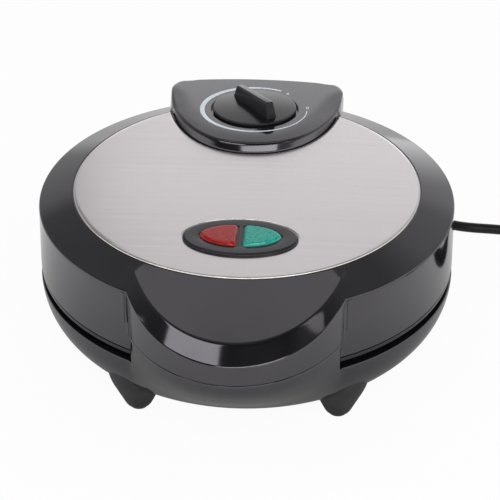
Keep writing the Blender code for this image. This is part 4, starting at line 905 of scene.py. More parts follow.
def grip_rows():
    """Grip blade: a long oval that narrows upwards and falls away from the pointing end."""
    turn = circle_turns(72) + math.pi / 72
    rows = []
    top = DIAL_RIM_H + GRIP_H
    foot = DIAL_RIM_H - GRIP_ROOT
    levels = [(TINY, TINY, foot), (GRIP_LENGTH, GRIP_WIDTH, foot),
              (GRIP_LENGTH, GRIP_WIDTH, DIAL_RIM_H + GRIP_STEP)]
    for bend in np.linspace(0, math.pi / 2, 7):
        inset = 2 * GRIP_ROUND * (1 - math.cos(bend))
        levels.append((GRIP_TOP_LENGTH - inset, GRIP_TOP_WIDTH - inset,
                       top - GRIP_ROUND * (1 - math.sin(bend))))
    levels.append((TINY, TINY, top))
    for length, width, z in levels:
        end_r = width / 2
        along, across = (np.copysign(np.abs(part) ** GRIP_SQUARENESS, part)
                         for part in (np.cos(turn), np.sin(turn)))
        x = np.sign(along) * (length / 2 - end_r) + end_r * along
        y = end_r * across
        fall = GRIP_FALL * (0.5 - x / GRIP_LENGTH) * smooth((z - DIAL_RIM_H) / GRIP_H)
        cos, sin = math.cos(GRIP_TURN), math.sin(GRIP_TURN)
        rows.append(on_dial(np.stack([x * cos - y * sin, x * sin + y * cos, z - fall], axis=-1)))
    return np.stack(rows, axis=1)


def figure(name, text, size, angle, radius):
    """A printed figure, upright for the user, on the housing's sloping top."""
    data = bpy.data.curves.new(name, "FONT")
    data.body = text
    data.size = size
    data.align_x = data.align_y = "CENTER"
    data.extrude = 1.5 * SCALE_THICK
    data.resolution_u = 6
    writing = linked(name, data)
    evaluated = writing.evaluated_get(bpy.context.evaluated_depsgraph_get())
    mesh = bpy.data.meshes.new_from_object(evaluated)
    bpy.data.objects.remove(writing, do_unlink=True)
    place = np.empty(len(mesh.vertices) * 3)
    mesh.vertices.foreach_get("co", place)
    place = place.reshape(-1, 3) + (radius * math.cos(angle), radius * math.sin(angle),
                                    SCALE_THICK / 2)
    mesh.vertices.foreach_set("co", on_dial(place).ravel())
    weld(mesh)
    mesh.name = name
    return linked(name, mesh)


def housing_surface():
    """Housing by direction from the dial: recess, top, chamfer, wall and inside.

    The top falls a little towards its front and sides. Over the ring the side walls run
    on straight to the panel, so that they flare from the top's edge.
    """
    turn = circle_turns(540)
    centre = np.array([0.0, AXIS_Y + DIAL_Y])
    crown = reach_of(hump_outline(CROWN_W, CROWN_W, HUMP_BACK_CHAMFER + GAP), centre, turn)
    top = reach_of(hump_outline(HUMP_CHAMFER_W, HUMP_CHAMFER_D, HUMP_BACK_CHAMFER), centre, turn)
    fall = CROWN_FALL * smooth((HUMP_CENTRE + AXIS_Y - top[:, 1]) / CROWN_EASE)
    wall = reach_of(hump_outline(), centre, turn)
    far = np.hypot(wall[:, 0], wall[:, 1] - AXIS_Y)
    on_ring = FLARE * smooth((far - PANEL_R) / FLARE_EASE) * smooth((RING_R - far) / FLARE_EASE)
    flared = wall + np.column_stack([(np.copysign(HUMP_HALF_W, wall[:, 0]) - wall[:, 0]) * on_ring,
                                     np.zeros(len(turn))])
    flared_far = np.hypot(flared[:, 0], flared[:, 1] - AXIS_Y)
    wall_top = hump_z(wall[:, 1] - AXIS_Y) - HUMP_CHAMFER_H
    wall_top += (ring_slope_z(flared_far) - wall_top) * on_ring / FLARE
    low = (CEILING_Z + WALL / 2
           + (APRON_Z - CEILING_Z - WALL / 2) * smooth((far - SKIRT_INNER_R) / WALL))
    inner = reach_of(hump_outline(WALL, WALL, WALL), centre, turn) - (0, AXIS_Y)
    inner *= np.minimum(1.0,
                        (SKIRT_INNER_R + WALL / 2) / np.linalg.norm(inner, axis=1, keepdims=True))
    inner += (0, AXIS_Y)
    recess_r = DIAL_R + DIAL_RECESS_GAP
    flat = np.stack([recess_r * np.cos(turn), recess_r * np.sin(turn), np.zeros_like(turn)],
                    axis=-1)
    deep = on_dial(flat - (0, 0, DIAL_RECESS_H))
    rows = [
        np.broadcast_to(on_dial((0, 0, -DIAL_RECESS_H)), deep.shape), deep, on_dial(flat),
        np.column_stack([crown, hump_z(crown[:, 1] - AXIS_Y)]),
        np.column_stack([top, hump_z(top[:, 1] - AXIS_Y) - fall]),
        np.column_stack([flared, wall_top]),
        np.column_stack([flared, np.minimum(low, wall_top - GAP)]),
        np.column_stack([inner, low]),
        np.column_stack([inner, hump_z(inner[:, 1] - AXIS_Y) - HUMP_CHAMFER_H - WALL]),
        np.broadcast_to(on_dial((0, 0, -DIAL_RECESS_H - WALL)), deep.shape)]
    return rounded(np.stack(rows, axis=1), HOUSING_ROUNDING, 6)


# Forms of the base

def bowl_levels(inset=0.0, steps=30):
    """Radii and heights down the bowl: a quarter ellipse from the rim to the flat."""
    turn = np.linspace(0, math.pi / 2, steps)
    radius = BOWL_FLAT_R + (RIM_R - inset - BOWL_FLAT_R) * np.cos(turn)
    return radius, RIM_Z - (BOWL_DEPTH - inset) * np.sin(turn)


def rear_bulge(angle, z):
    """How far the flat-backed hinge housing stands out, at an angle from the front."""
    off_back = math.pi - np.abs(wrapped(angle))
    wide = smooth((HOUSING_HALF_ANGLE + HOUSING_EASE_ANGLE - off_back) / HOUSING_EASE_ANGLE)
    down = np.clip((RIM_Z - z) / (RIM_Z - HOUSING_END_Z), 0, 1)
    flat_back = REAR_REACH / np.cos(np.minimum(off_back, HOUSING_HALF_ANGLE))
    return (flat_back - RIM_R) * wide * np.cos(down * math.pi / 2) ** 2


def base_radius(angle, corner, z, bowl_r):
    """Bowl radius with the handle and the hinge housing fading into it downwards."""
    front = np.maximum(handle_reach(angle, corner) - RIM_R, 0.0)
    share = np.minimum((BLOCK_TOP - z) / (BLOCK_TOP - BLEND_END_Z), 1.0)
    return bowl_r + front * np.cos(share * math.pi / 2) ** 2 + rear_bulge(angle, z)


def base_section(angle, corner, on_block, end_share):
    """Section of the base at each angle, with the lower handle standing on it in front.

    on_block says where the lower handle stands, and end_share, from 0 at its very end
    to 1, rounds its upright end edges.
    """
    edge = BASE_EDGE
    radius, height = bowl_levels()
    radius, height = radius[::-1], np.minimum(height[::-1], RIM_Z - edge)
    columns = angle[:, None]
    bowl_z = np.broadcast_to(height, (len(angle), len(height)))
    bowl_r = base_radius(columns, corner, bowl_z, radius[None, :])
    block = on_block[:, None]
    inset = BLOCK_END_ROUND * (1 - np.sqrt(np.clip(1 - (1 - end_share[:, None]) ** 2, 0, 1)))
    rise = np.linspace(0, 1, 14)[None, :]
    top = np.where(block, BLOCK_TOP - inset, RIM_Z)
    wall_z = RIM_Z - edge + (top - RIM_Z) * rise
    wall_r = (base_radius(columns, corner, wall_z, RIM_R)
              - np.where(block, inset, 0.0) * smooth(rise * BLOCK_FADE))
    phi = np.linspace(0, math.pi / 2, 6)[None, :]
    arc_r = wall_r[:, -1:] - edge + edge * np.cos(phi)
    arc_z = top - edge + edge * np.sin(phi)
    ledge = np.where(block, np.minimum(RIM_R + GAP + inset, arc_r[:, -1:]), arc_r[:, -1:])
    inner_r, inner_z = bowl_levels(WALL)
    keep = inner_z < RIM_Z - RIM_LIP
    inner_r, inner_z = inner_r[keep], inner_z[keep]

    def row(values):
        """The same values at every angle."""
        return np.broadcast_to(values, (len(angle), np.size(values)))

    r = np.concatenate([row(0.0), bowl_r, wall_r, arc_r, ledge, ledge, row(LIP_R), row(LIP_R),
                        row(inner_r[0]), row(inner_r), row(0.0)], axis=1)
    z = np.concatenate([row(BOWL_Z), bowl_z, wall_z, arc_z, top, row(RIM_Z), row(RIM_Z),
                        row(RIM_Z - RIM_LIP), row(RIM_Z - RIM_LIP), row(inner_z), row(inner_z[-1])],
                       axis=1)
    return np.stack([r, z], axis=-1)


def base_surface():
    """The whole base shell, with doubled columns where the lower handle ends."""
    corner = handle_corner(RIM_R)
    tip = math.asin(TIP_CUT_W / (RIM_R + GAP))
    near_end = np.linspace(0, 1, 7) * BLOCK_END_ROUND / RIM_R
    front = np.concatenate([-tip + near_end, np.linspace(-tip, tip, 180)[1:-1],
                            tip - near_end[::-1]])
    front = np.sort(front)
    back = HOUSING_HALF_ANGLE + HOUSING_EASE_ANGLE
    rest = np.concatenate([
        np.linspace(tip, math.pi - back, 120, endpoint=False),
        np.linspace(math.pi - back, math.pi + back, 150, endpoint=False),
        np.linspace(math.pi + back, math.tau - tip, 120)])
    angle = np.concatenate([front, rest])
    on_block = np.arange(len(angle)) < len(front)
    end_share = np.clip((tip - np.abs(wrapped(angle))) * RIM_R / BLOCK_END_ROUND, 0, 1)
    return at_angle(angle, base_section(angle, corner, on_block, end_share))


def bowl_under_z(radius):
    """Height of the bowl's outer surface at a distance from the body axis."""
    share = np.clip((radius - BOWL_FLAT_R) / (RIM_R - BOWL_FLAT_R), 0, 1)
    return RIM_Z - BOWL_DEPTH * np.sqrt(1 - share ** 2)


def foot_surface(x, y):
    """Blunt cone that swells towards the bowl and stops just inside the bowl's wall."""
    profile = rounded([(0.0, PAD_SUNK), (FOOT_TIP_R, PAD_SUNK),
                       (FOOT_TIP_R + FOOT_ROUND, PAD_SUNK + FOOT_ROUND),
                       (FOOT_SHOULDER_R, FOOT_SHOULDER_Z), (FOOT_TOP_R, FOOT_TOP_Z)],
                      FOOT_ROUNDING, 12)
    profile = np.concatenate([profile, [(0.0, FOOT_TOP_Z)]])
    points = spun(profile, 72, x, AXIS_Y + y)
    far = np.hypot(points[..., 0], points[..., 1] - AXIS_Y)
    points[..., 2] = np.minimum(points[..., 2], bowl_under_z(far) + WALL / 2)
    return points


def vent_outline(side, row):
    """A slot with round ends in the bowl's floor."""
    ends = ring_loop(side * VENT_OFFSET, AXIS_Y + row * VENT_STEP, VENT_WIDTH / 2, 24, VENT_TWIST)
    turn = circle_turns(24) + VENT_TWIST
    ends[:, 0] += np.sign(np.cos(turn)) * (VENT_LENGTH - VENT_WIDTH) / 2
    return ends


# Forms of the cooking plates

def mould_profile():
    """Depths across a mould: face, rounded lip, half-round groove, lip and middle post."""
    bend = np.linspace(MOULD_GROOVE_START, MOULD_GROOVE_END, 22)
    groove = np.stack([MOULD_RING_R + MOULD_GROOVE_R * np.cos(bend), MOULD_GROOVE_R * np.sin(bend)],
                      axis=1)
    outer = rounded([(MOULD_RING_R + MOULD_GROOVE_R + 2 * MOULD_LIP, 0.0),
                     (MOULD_RING_R + MOULD_GROOVE_R, 0.0), groove[0]], [MOULD_LIP], 7)
    inner = rounded([groove[-1], (MOULD_RING_R - MOULD_GROOVE_R, 0.0), (0.0, 0.0)], [MOULD_LIP], 7)
    return np.concatenate([outer, groove[1:-1], inner])


def plate_patches(side):
    """Face with seven ring moulds and three sunk screw holes, flange, back and bosses."""
    def height(depth):
        return CLOSE_Z - side * (PLATE_FACE + depth)

    back = PLATE_BACK - PLATE_FACE
    seat = PLATE_SEAT - PLATE_FACE
    patches = []
    mould_loops, screw_loops, boss_loops = [], [], []
    profile = mould_profile()
    lip_r = profile[0, 0]
    for x, y in [(0.0, AXIS_Y), *ring_loop(0.0, AXIS_Y, MOULD_PITCH_R, 6)]:
        rows = profile.copy()
        rows[:, 1] = height(rows[:, 1])
        patches.append(grid(spun(rows, 72, x, y)))
        mould_loops.append(ring_loop(x, y, lip_r, 72))
        boss = rounded([(MOULD_BOSS_R, height(back)),
                        (MOULD_BOSS_R - MOULD_BOSS_TAPER, height(BOSS_BACK - PLATE_FACE)),
                        (0.0, height(BOSS_BACK - PLATE_FACE))], BOSS_ROUNDING, 4)
        patches.append(grid(spun(boss, 72, x, y)))
        boss_loops.append(ring_loop(x, y, MOULD_BOSS_R, 72))
    head = SCREW_HEAD_R + GAP
    for x, y in ring_loop(0.0, AXIS_Y, SCREW_PITCH_R, 3, SCREW_TURN):
        hole = [(head + GAP, height(0)), (head, height(GAP)),
                (SCREW_R + GAP, height(GAP + SCREW_HEAD_H)),
                (SCREW_R + GAP, height(back - GAP)), (0.0, height(back - GAP))]
        patches.append(grid(spun(hole, 32, x, y)))
        screw_loops.append(ring_loop(x, y, head + GAP, 32))
    inner = PLATE_FLANGE_R - PLATE_FACE_INSET
    back_r = PLATE_BODY_R - PLATE_BACK_INSET
    rim = rounded([(inner, height(0)), (PLATE_FLANGE_R, height(0)), (PLATE_FLANGE_R, height(seat)),
                   (PLATE_BODY_R, height(seat)), (PLATE_BODY_R, height(back)),
                   (back_r, height(back))], PLATE_ROUNDING, 4)
    patches.append(grid(spun(rim, 180)))
    patches.append(holed_face(ring_loop(0, AXIS_Y, inner, 180), mould_loops + screw_loops,
                              height(0)))
    patches.append(holed_face(ring_loop(0, AXIS_Y, back_r, 180), boss_loops, height(back)))
    return patches


# Forms of the bezel and lenses

def lens_outline(side, grow=0.0):
    """Half leaf: straight beside the divider, bowed to a blunt point, corners rounded."""
    start = LENS_DIVIDER / 2 - grow
    turn = np.linspace(0, math.pi / 2, 40)
    x = start + (LENS_LENGTH + 2 * grow) * np.sin(turn)
    y = (LENS_HALF_D + grow) * np.cos(turn) ** LENS_BOW
    upper = np.stack([x, y], axis=1)
    leaf = np.concatenate([upper, upper[-2::-1] * (1, -1)])
    leaf = rounded_outline(leaf, 160, LENS_CORNER)
    return leaf * (side, 1) + (0, AXIS_Y + BEZEL_Y)


def lens_rows(side, levels):
    """Rows of a lens or of its window, each an outline grown and set at a height."""
    centre = lens_outline(side).mean(axis=0)
    rows = []
    for grow, z in levels:
        outline = (lens_outline(side, grow) if grow is not None
                   else np.repeat(centre[None], 160, axis=0))
        rows.append(level(outline, z))
    return np.stack(rows, axis=1)


def bezel_patches():
    """Oval frame with a sloping edge and two leaf-shaped windows."""
    top = BEZEL_SEAT + BEZEL_TOP_H
    flat = BEZEL_TOP_INSET + BEZEL_FLAT
    rows = np.stack([
        oval(TINY, TINY, BEZEL_Y, BEZEL_SEAT - PANEL_THICK),
        oval(BEZEL_HALF_W, BEZEL_HALF_D, BEZEL_Y, BEZEL_SEAT - PANEL_THICK),
        oval(BEZEL_HALF_W, BEZEL_HALF_D, BEZEL_Y, BEZEL_SEAT + BEZEL_EDGE_H),
        oval(BEZEL_HALF_W - BEZEL_TOP_INSET, BEZEL_HALF_D - BEZEL_TOP_INSET, BEZEL_Y, top),
        oval(BEZEL_HALF_W - flat, BEZEL_HALF_D - flat, BEZEL_Y, top)], axis=1)
    patches = [grid(rounded(rows, BEZEL_ROUNDING, 6))]
    loops = []
    for side in (-1, 1):
        levels = [(LENS_GAP + WINDOW_LIP * (1 - math.sin(bend)),
                   top - WINDOW_LIP * (1 - math.cos(bend)))
                  for bend in np.linspace(0, math.pi / 2, 6)]
        levels += [(LENS_GAP, BEZEL_SEAT + GAP), (None, BEZEL_SEAT + GAP)]
        patches.append(grid(lens_rows(side, levels)))
        loops.append(lens_outline(side, LENS_GAP + WINDOW_LIP))
    patches.append(holed_face(rows[:, -1], loops, top))
    return patches


def lip_surface():
    """Thin rolled lip of the steel panel behind the bezel: an oval swept by a half round.

    Towards the front it comes close to the bezel and sinks under the panel. Its edge steel, lighter
    and warmer than the panel's, is a painted highlight.
    """
    base = CREASE_Z + PANEL_RISE + PANEL_PROUD
    turn = circle_turns(200)
    far = smooth((np.sin(turn) + LIP_FADE_START) / LIP_FADE_RUN)
    sunk = (1 - far) * (LIP_ROLL + SUNK)
    rows = []
    for bend in np.linspace(0, math.pi, 9):
        out = LIP_GAP + LIP_SPREAD * far + LIP_ROLL * (1 - math.cos(bend))
        x = (BEZEL_HALF_W + out) * np.cos(turn)
        y = BEZEL_Y + (BEZEL_HALF_D + out) * np.sin(turn)
        dome = base + PANEL_DOME * (1 - (x ** 2 + y ** 2) / PANEL_R ** 2)
        rows.append(np.stack([x, AXIS_Y + y, dome - GAP - sunk + (LIP_ROLL + GAP) * math.sin(bend)],
                             axis=1))
    return np.stack(rows, axis=1)


def rim_surface():
    """Rolled rim along the panel's front, a thin half round that sinks at the sides; its lighter,
    warmer edge steel is a painted highlight.
    """
    turn = circle_turns(720)
    sunk = smooth((np.sin(turn) + RIM_FADE_START) / RIM_FADE_RUN) * (RIM_ROLL + SUNK)
    rows = []
    for bend in np.linspace(0, math.pi, 9):
        radius = PANEL_R - RIM_ROLL * (1 - math.cos(bend)) + GAP
        z = CREASE_Z + PANEL_RISE - GAP + (RIM_ROLL + GAP) * math.sin(bend)
        rows.append(np.stack([radius * np.cos(turn), AXIS_Y + radius * np.sin(turn), z - sunk],
                             axis=1))
    return np.stack(rows, axis=1)


def lens_surface(side):
    """Clear cap with a flat top facet inside a bevelled edge."""
    face = BEZEL_SEAT + BEZEL_TOP_H
    low, edge, top = face - LENS_SKIRT, face + GAP, face + LENS_PROUD
    rows = lens_rows(side, [(None, low), (-LENS_SHRINK, low), (-LENS_SHRINK, edge),
                            (-LENS_FACET - LENS_SHRINK, top), (None, top + LENS_CROWN)])
    return rounded(rows, LENS_ROUNDING, 5)


# Forms of the cord

def gland_direction():
    """Which way the cord leaves the bowl."""
    return np.array([math.cos(GLAND_ANGLE), math.sin(GLAND_ANGLE), 0.0])


def gland_root():
    """Where the strain relief meets the outside of the bowl."""
    share = (RIM_Z - GLAND_Z) / BOWL_DEPTH
    radius = BOWL_FLAT_R + (RIM_R - BOWL_FLAT_R) * math.sqrt(1 - share ** 2)
    return np.array([0.0, AXIS_Y, GLAND_Z]) + radius * gland_direction()


def relief_profile():
    """Radius and distance along the strain relief: flange, tapered neck with grooves, tip."""
    along = np.linspace(0.0, 1.0, 121)
    wave = np.sin(along * math.tau * GLAND_RIBS - GLAND_RIB_PHASE)
    groove = (smooth((wave - GLAND_RIB_CUT) * GLAND_RIB_STEEPNESS)
              * (along > GLAND_RIB_FROM) * (along < GLAND_RIB_TO))
    radius = GLAND_NECK_R + (GLAND_TIP_R - GLAND_NECK_R) * along - GLAND_RIB_DEPTH * groove
    root, shoulder, step, start = GLAND_FLANGE
    flange = [(0.0, root), (GLAND_FLANGE_R, root), (GLAND_FLANGE_R, shoulder), (GLAND_NECK_R, step)]
    neck = np.column_stack([radius, along * GLAND_LENGTH])
    end = [(GLAND_TIP_R - GLAND_TIP_EDGE, GLAND_LENGTH), (0.0, GLAND_LENGTH)]
    return np.concatenate([flange, neck[neck[:, 1] > start], end])


def along_axis(profile, origin, direction, steps=48):
    """A profile of radius and distance turned about a line."""
    profile = np.asarray(profile, float)
    direction = np.asarray(direction, float)
    side = np.cross(direction, (0.0, 0.0, 1.0))
    side /= np.linalg.norm(side)
    up = np.cross(side, direction)
    turn = circle_turns(steps)[:, None, None]
    ray = np.cos(turn) * side + np.sin(turn) * up
    return origin + profile[None, :, 1:2] * direction + profile[None, :, 0:1] * ray


def smooth_route(points, per_span=5):
    """Points of a smooth curve that passes through given places."""
    route = np.asarray(points, float)
    route = np.concatenate([[2 * route[0] - route[1]], route, [2 * route[-1] - route[-2]]])
    before, start, end, after = (route[k:len(route) - 3 + k, None] for k in range(4))
    t = (np.arange(per_span) / per_span)[None, :, None]
    curve = 0.5 * (2 * start + (end - before) * t
                   + (2 * before - 5 * start + 4 * end - after) * t ** 2
                   + (3 * start - before - 3 * end + after) * t ** 3)
    return np.concatenate([curve.reshape(-1, 3), route[-2:-1]])


def coil_route():
    """Turns wound inwards on the table and outwards again on a second layer."""
    turns = COIL_TURNS * np.arange(COIL_POINTS + 1) / COIL_POINTS
    middle = COIL_TURNS / 2
    half = COIL_REVERSAL_TURNS / 2
    off = np.abs(turns - middle)
    inward = np.where(off < half, middle - (off ** 2 + half ** 2) / (2 * half), middle - off)
    radius = COIL_OUTER_R - COIL_PITCH * inward
    angle = math.pi / 2 - math.tau * turns
    climb = smooth((turns - middle + half) / (2 * half))
    return np.stack([COIL_CENTRE[0] + radius * np.cos(angle),
                     COIL_CENTRE[1] + radius * np.sin(angle),
                     CORD_R + GAP + COIL_PITCH * climb], axis=1)


def lead(points, distance):
    """A place straight ahead of the first of some points."""
    away = points[0] - points[1]
    return points[0] + away / np.linalg.norm(away) * distance


def cord_route():
    """The whole cord: out of the strain relief, over the table, coiled, and to the plug."""
    coil = coil_route()
    start = gland_root() + GLAND_LENGTH * gland_direction()
    away = start + 2 * CORD_R * gland_direction()
    free = smooth_route([start, away, *CORD_ROUTE, lead(coil, 4 * CORD_R), lead(coil, 2 * CORD_R)])
    after = coil[::-1]
    z = PLUG_HALF_H + GAP
    tail = smooth_route([lead(after, 2 * CORD_R), lead(after, 4 * CORD_R), *TAIL_ROUTE,
                         (PLUG_X, PLUG_Y + 2 * CORD_R, z), (PLUG_X, PLUG_Y, z)])
    return np.concatenate([free, coil, tail])


def plug_rows():
    """Squared ovals along the plug, from its ribbed relief to its flat nose."""
    turn = circle_turns(64)
    across, up = (np.copysign(np.abs(part) ** PLUG_SQUARENESS, part)
                  for part in (np.cos(turn), np.sin(turn)))
    rib = np.linspace(0, 1, 37)
    grooves = PLUG_RIB_DEPTH * (np.sin(rib * math.tau * PLUG_RIBS) > PLUG_RIB_CUT)
    relief_r = PLUG_TIP_R + (PLUG_RELIEF_R - PLUG_TIP_R) * rib - grooves
    shoulder = np.linspace(0, 1, 12)
    sizes = [(0.0, 0.0, 0.0)] + [(r, r, PLUG_RELIEF * s) for r, s in zip(relief_r, rib)]
    sizes += [(PLUG_RELIEF_R + (PLUG_HALF_W - PLUG_RELIEF_R) * smooth(s),
               PLUG_RELIEF_R + (PLUG_HALF_H - PLUG_RELIEF_R) * smooth(s),
               PLUG_RELIEF + PLUG_LENGTH * s / 2) for s in shoulder[1:]]
    sizes += [(PLUG_HALF_W + (PLUG_NOSE_HALF_W - PLUG_HALF_W) * smooth(s), PLUG_HALF_H,
               PLUG_RELIEF + PLUG_LENGTH * (0.5 + s / 2)) for s in shoulder[1:-1]]
    nose = PLUG_RELIEF + PLUG_LENGTH
    for bend in np.linspace(0, math.pi / 2, 5):
        inset = PLUG_EDGE * (1 - math.cos(bend))
        sizes.append((PLUG_NOSE_HALF_W - inset, PLUG_HALF_H - inset,
                      nose - PLUG_EDGE * (1 - math.sin(bend))))
    sizes.append((0.0, 0.0, nose))
    rows = [np.stack([PLUG_X + w * across, np.full(64, PLUG_Y - GAP - forward),
                      PLUG_HALF_H + GAP + h * up], axis=1) for w, h, forward in sizes]
    return np.stack(rows, axis=1)


# Materials

WHITE = (1.0, 1.0, 1.0, 1.0)
COOL = (0.96, 0.92, 1.0, 1.0)


def metal_kind(scale):
    """Turned or pressed metal with faint tool marks."""
    marks = (scale, 4.0, 0.6)
    return {"tone": marks, "tones": (0.86, 1.08), "wear": marks, "gloss": (0.8, 1.25)}


# tone, wear and grain are a noise's scale, detail and roughness. tones and gloss are factors on
# the colour and the roughness, and ends is the part of the noise over which the tones change.
KINDS = {
    # Moulded plastic: near-black, faintly uneven, with the mould's fine orange peel
    "gloss": {"tone": (38.0, 2.0, 0.5), "tones": (0.88, 1.16), "wear": (95.0, 4.0, 0.6),
              "gloss": (0.88, 1.14), "grain": (1500.0, 2.0, 0.5), "depth": 0.00002},
    # Textured moulding: spark-eroded grain and worn, slightly shinier patches
    "satin": {"tone": (60.0, 3.0, 0.5), "tones": (0.85, 1.2), "wear": (140.0, 3.0, 0.5),
              "gloss": (0.85, 1.15), "grain": (2600.0, 3.0, 0.65), "depth": 0.00004},
    # Non-stick coating on cast metal: fine speckle and a soft cast surface
    "coating": {"tone": (2400.0, 2.0, 0.7), "tones": (0.75, 1.5), "ends": (0.35, 0.8),
                "wear": (70.0, 3.0, 0.5), "gloss": (5 / 6, 7 / 6),
                "grain": (900.0, 3.0, 0.5), "depth": 0.00005},
    # Matt rubber or cord sheath, dusty in patches, with a fine skin
    "rubber": {"tone": (120.0, 4.0, 0.5), "tones": (0.8, 1.5), "wear": (260.0, 2.0, 0.5),
               "gloss": (0.88, 1.1), "grain": (3000.0, 2.0, 0.5), "depth": 0.00003},
    # Pale insulator with a faintly pitted skin
    "ceramic": {"tone": (300.0, 5.0, 0.5), "tones": (0.85, 1.0),
                "grain": (1500.0, 3.0, 0.5), "depth": 0.00005},
    # Pad-printed ink, a little thin in places
    "ink": {"tone": (700.0, 3.0, 0.5), "tones": (0.84, 1.0), "ends": (0.3, 0.6)},
    # Small lamp envelope
    "glass": {"tone": (500.0, 3.0, 0.5), "tones": (0.9, 1.0)},
    "metal": metal_kind(420.0), "rolled": metal_kind(900.0), "pressed": metal_kind(180.0)}


def node(tree, kind, values, operation=None):
    """A shader node whose inputs are set to values or linked to other nodes' outputs."""
    made = tree.nodes.new("ShaderNode" + kind)
    if operation:
        made.operation = operation
    for socket, value in values.items():
        if isinstance(value, bpy.types.NodeSocket):
            tree.links.new(value, made.inputs[socket])
        else:
            made.inputs[socket].default_value = value
    return made


def new_material(name, colour, roughness, metallic=0.0):
    """A material whose constant values sit on its own shader."""
    material = bpy.data.materials.new(name)
    material.use_nodes = True
    shader = material.node_tree.nodes["Principled BSDF"]
    shader.inputs["Base Color"].default_value = (*colour, 1.0)
    shader.inputs["Roughness"].default_value = roughness
    shader.inputs["Metallic"].default_value = metallic
    return material, material.node_tree, shader


def object_point(tree, scale=(1.0, 1.0, 1.0)):
    """Object coordinates, stretched by a mapping."""
    place = node(tree, "TexCoord", {}).outputs["Object"]
    return node(tree, "Mapping", {"Vector": place, "Scale": scale}).outputs["Vector"]


def noise(tree, point, scale, detail=3.0, rough=0.5):
    """Smooth noise between 0 and 1."""
    return node(tree, "TexNoise", {"Vector": point, "Scale": scale, "Detail": detail,
                                   "Roughness": rough}).outputs["Fac"]


def spread(tree, factor, low, high, start=0.3, end=0.7):
    """A factor mapped from one range to another."""
    return node(tree, "MapRange", {"Value": factor, "From Min": start, "From Max": end,
                                   "To Min": low, "To Max": high}).outputs["Result"]


def combined(tree, operation, total, *others):
    """Links or values joined one after another by one kind of arithmetic."""
    for other in others:
        total = node(tree, "Math", {0: total, 1: other}, operation).outputs["Value"]
    return total


def mixed(tree, factor, first, second, output):
    """Two shaders mixed by a factor into the output's surface."""
    mix = node(tree, "MixShader", {"Fac": factor, 1: first, 2: second})
    tree.links.new(mix.outputs["Shader"], tree.nodes[output].inputs["Surface"])


def two_tone(tree, shader, factor, colour, tones, ends=(0.35, 0.65)):
    """Base colour that wanders between two tones."""
    ramp = tree.nodes.new("ShaderNodeValToRGB")
    for stop, place, tone in zip(ramp.color_ramp.elements, ends, tones):
        stop.position = place
        stop.color = (*(min(part * tone, 1.0) for part in colour), 1.0)
    tree.links.new(factor, ramp.inputs["Fac"])
    tree.links.new(ramp.outputs["Color"], shader.inputs["Base Color"])


def relief(tree, shader, height, strength, distance):
    """Bump from a height."""
    bump = node(tree, "Bump", {"Height": height, "Strength": strength, "Distance": distance})
    tree.links.new(bump.outputs["Normal"], shader.inputs["Normal"])


def textured(kind, name, colour, roughness, strength=0.0, shine=0.5, metallic=0.0, tint=WHITE,
             clear=0.0):
    """A finish of one kind: two tones, worn gloss and a fine relief from noise."""
    look = KINDS[kind]
    material, tree, shader = new_material(name, colour, roughness, metallic)
    shader.inputs["Specular IOR Level"].default_value = shine
    shader.inputs["Specular Tint"].default_value = tint
    shader.inputs["Transmission Weight"].default_value = clear
    point = object_point(tree)
    two_tone(tree, shader, noise(tree, point, *look["tone"]), colour, look["tones"],
             look.get("ends", (0.35, 0.65)))
    if "wear" in look:
        low, high = (roughness * factor for factor in look["gloss"])
        worn = spread(tree, noise(tree, point, *look["wear"]), low, high)
        tree.links.new(worn, shader.inputs["Roughness"])
    if "grain" in look:
        relief(tree, shader, noise(tree, point, *look["grain"]), strength, look["depth"])
    return material


def brushed_steel(name, colour):
    """Steel brushed from left to right: long fine scratches in tone, gloss and relief."""
    material, tree, shader = new_material(name, colour, 0.24, 1.0)
    fine = noise(tree, object_point(tree, (6.0, 1500.0, 6.0)), 1.0, 4.0, 0.7)
    long_lines = noise(tree, object_point(tree, (2.0, 260.0, 2.0)), 1.0, 3.0, 0.6)
    two_tone(tree, shader, long_lines, colour, (0.978, 1.018), (0.3, 0.7))
    tree.links.new(spread(tree, fine, 0.21, 0.27), shader.inputs["Roughness"])
    shader.inputs["Anisotropic"].default_value = 0.35
    relief(tree, shader, fine, 0.05, 0.00002)
    return material


def clear_lens(name, colour):
    """Coloured clear plastic over a finely stippled back."""
    material, tree, shader = new_material(name, colour, 0.10)
    cells = node(tree, "TexVoronoi",
                 {"Vector": object_point(tree), "Scale": 1300.0}).outputs["Distance"]
    two_tone(tree, shader, cells, colour, (1.35, 0.60), (0.10, 0.80))
    relief(tree, shader, cells, 0.10, 0.00004)
    shader.inputs["Specular IOR Level"].default_value = 0.35
    return material


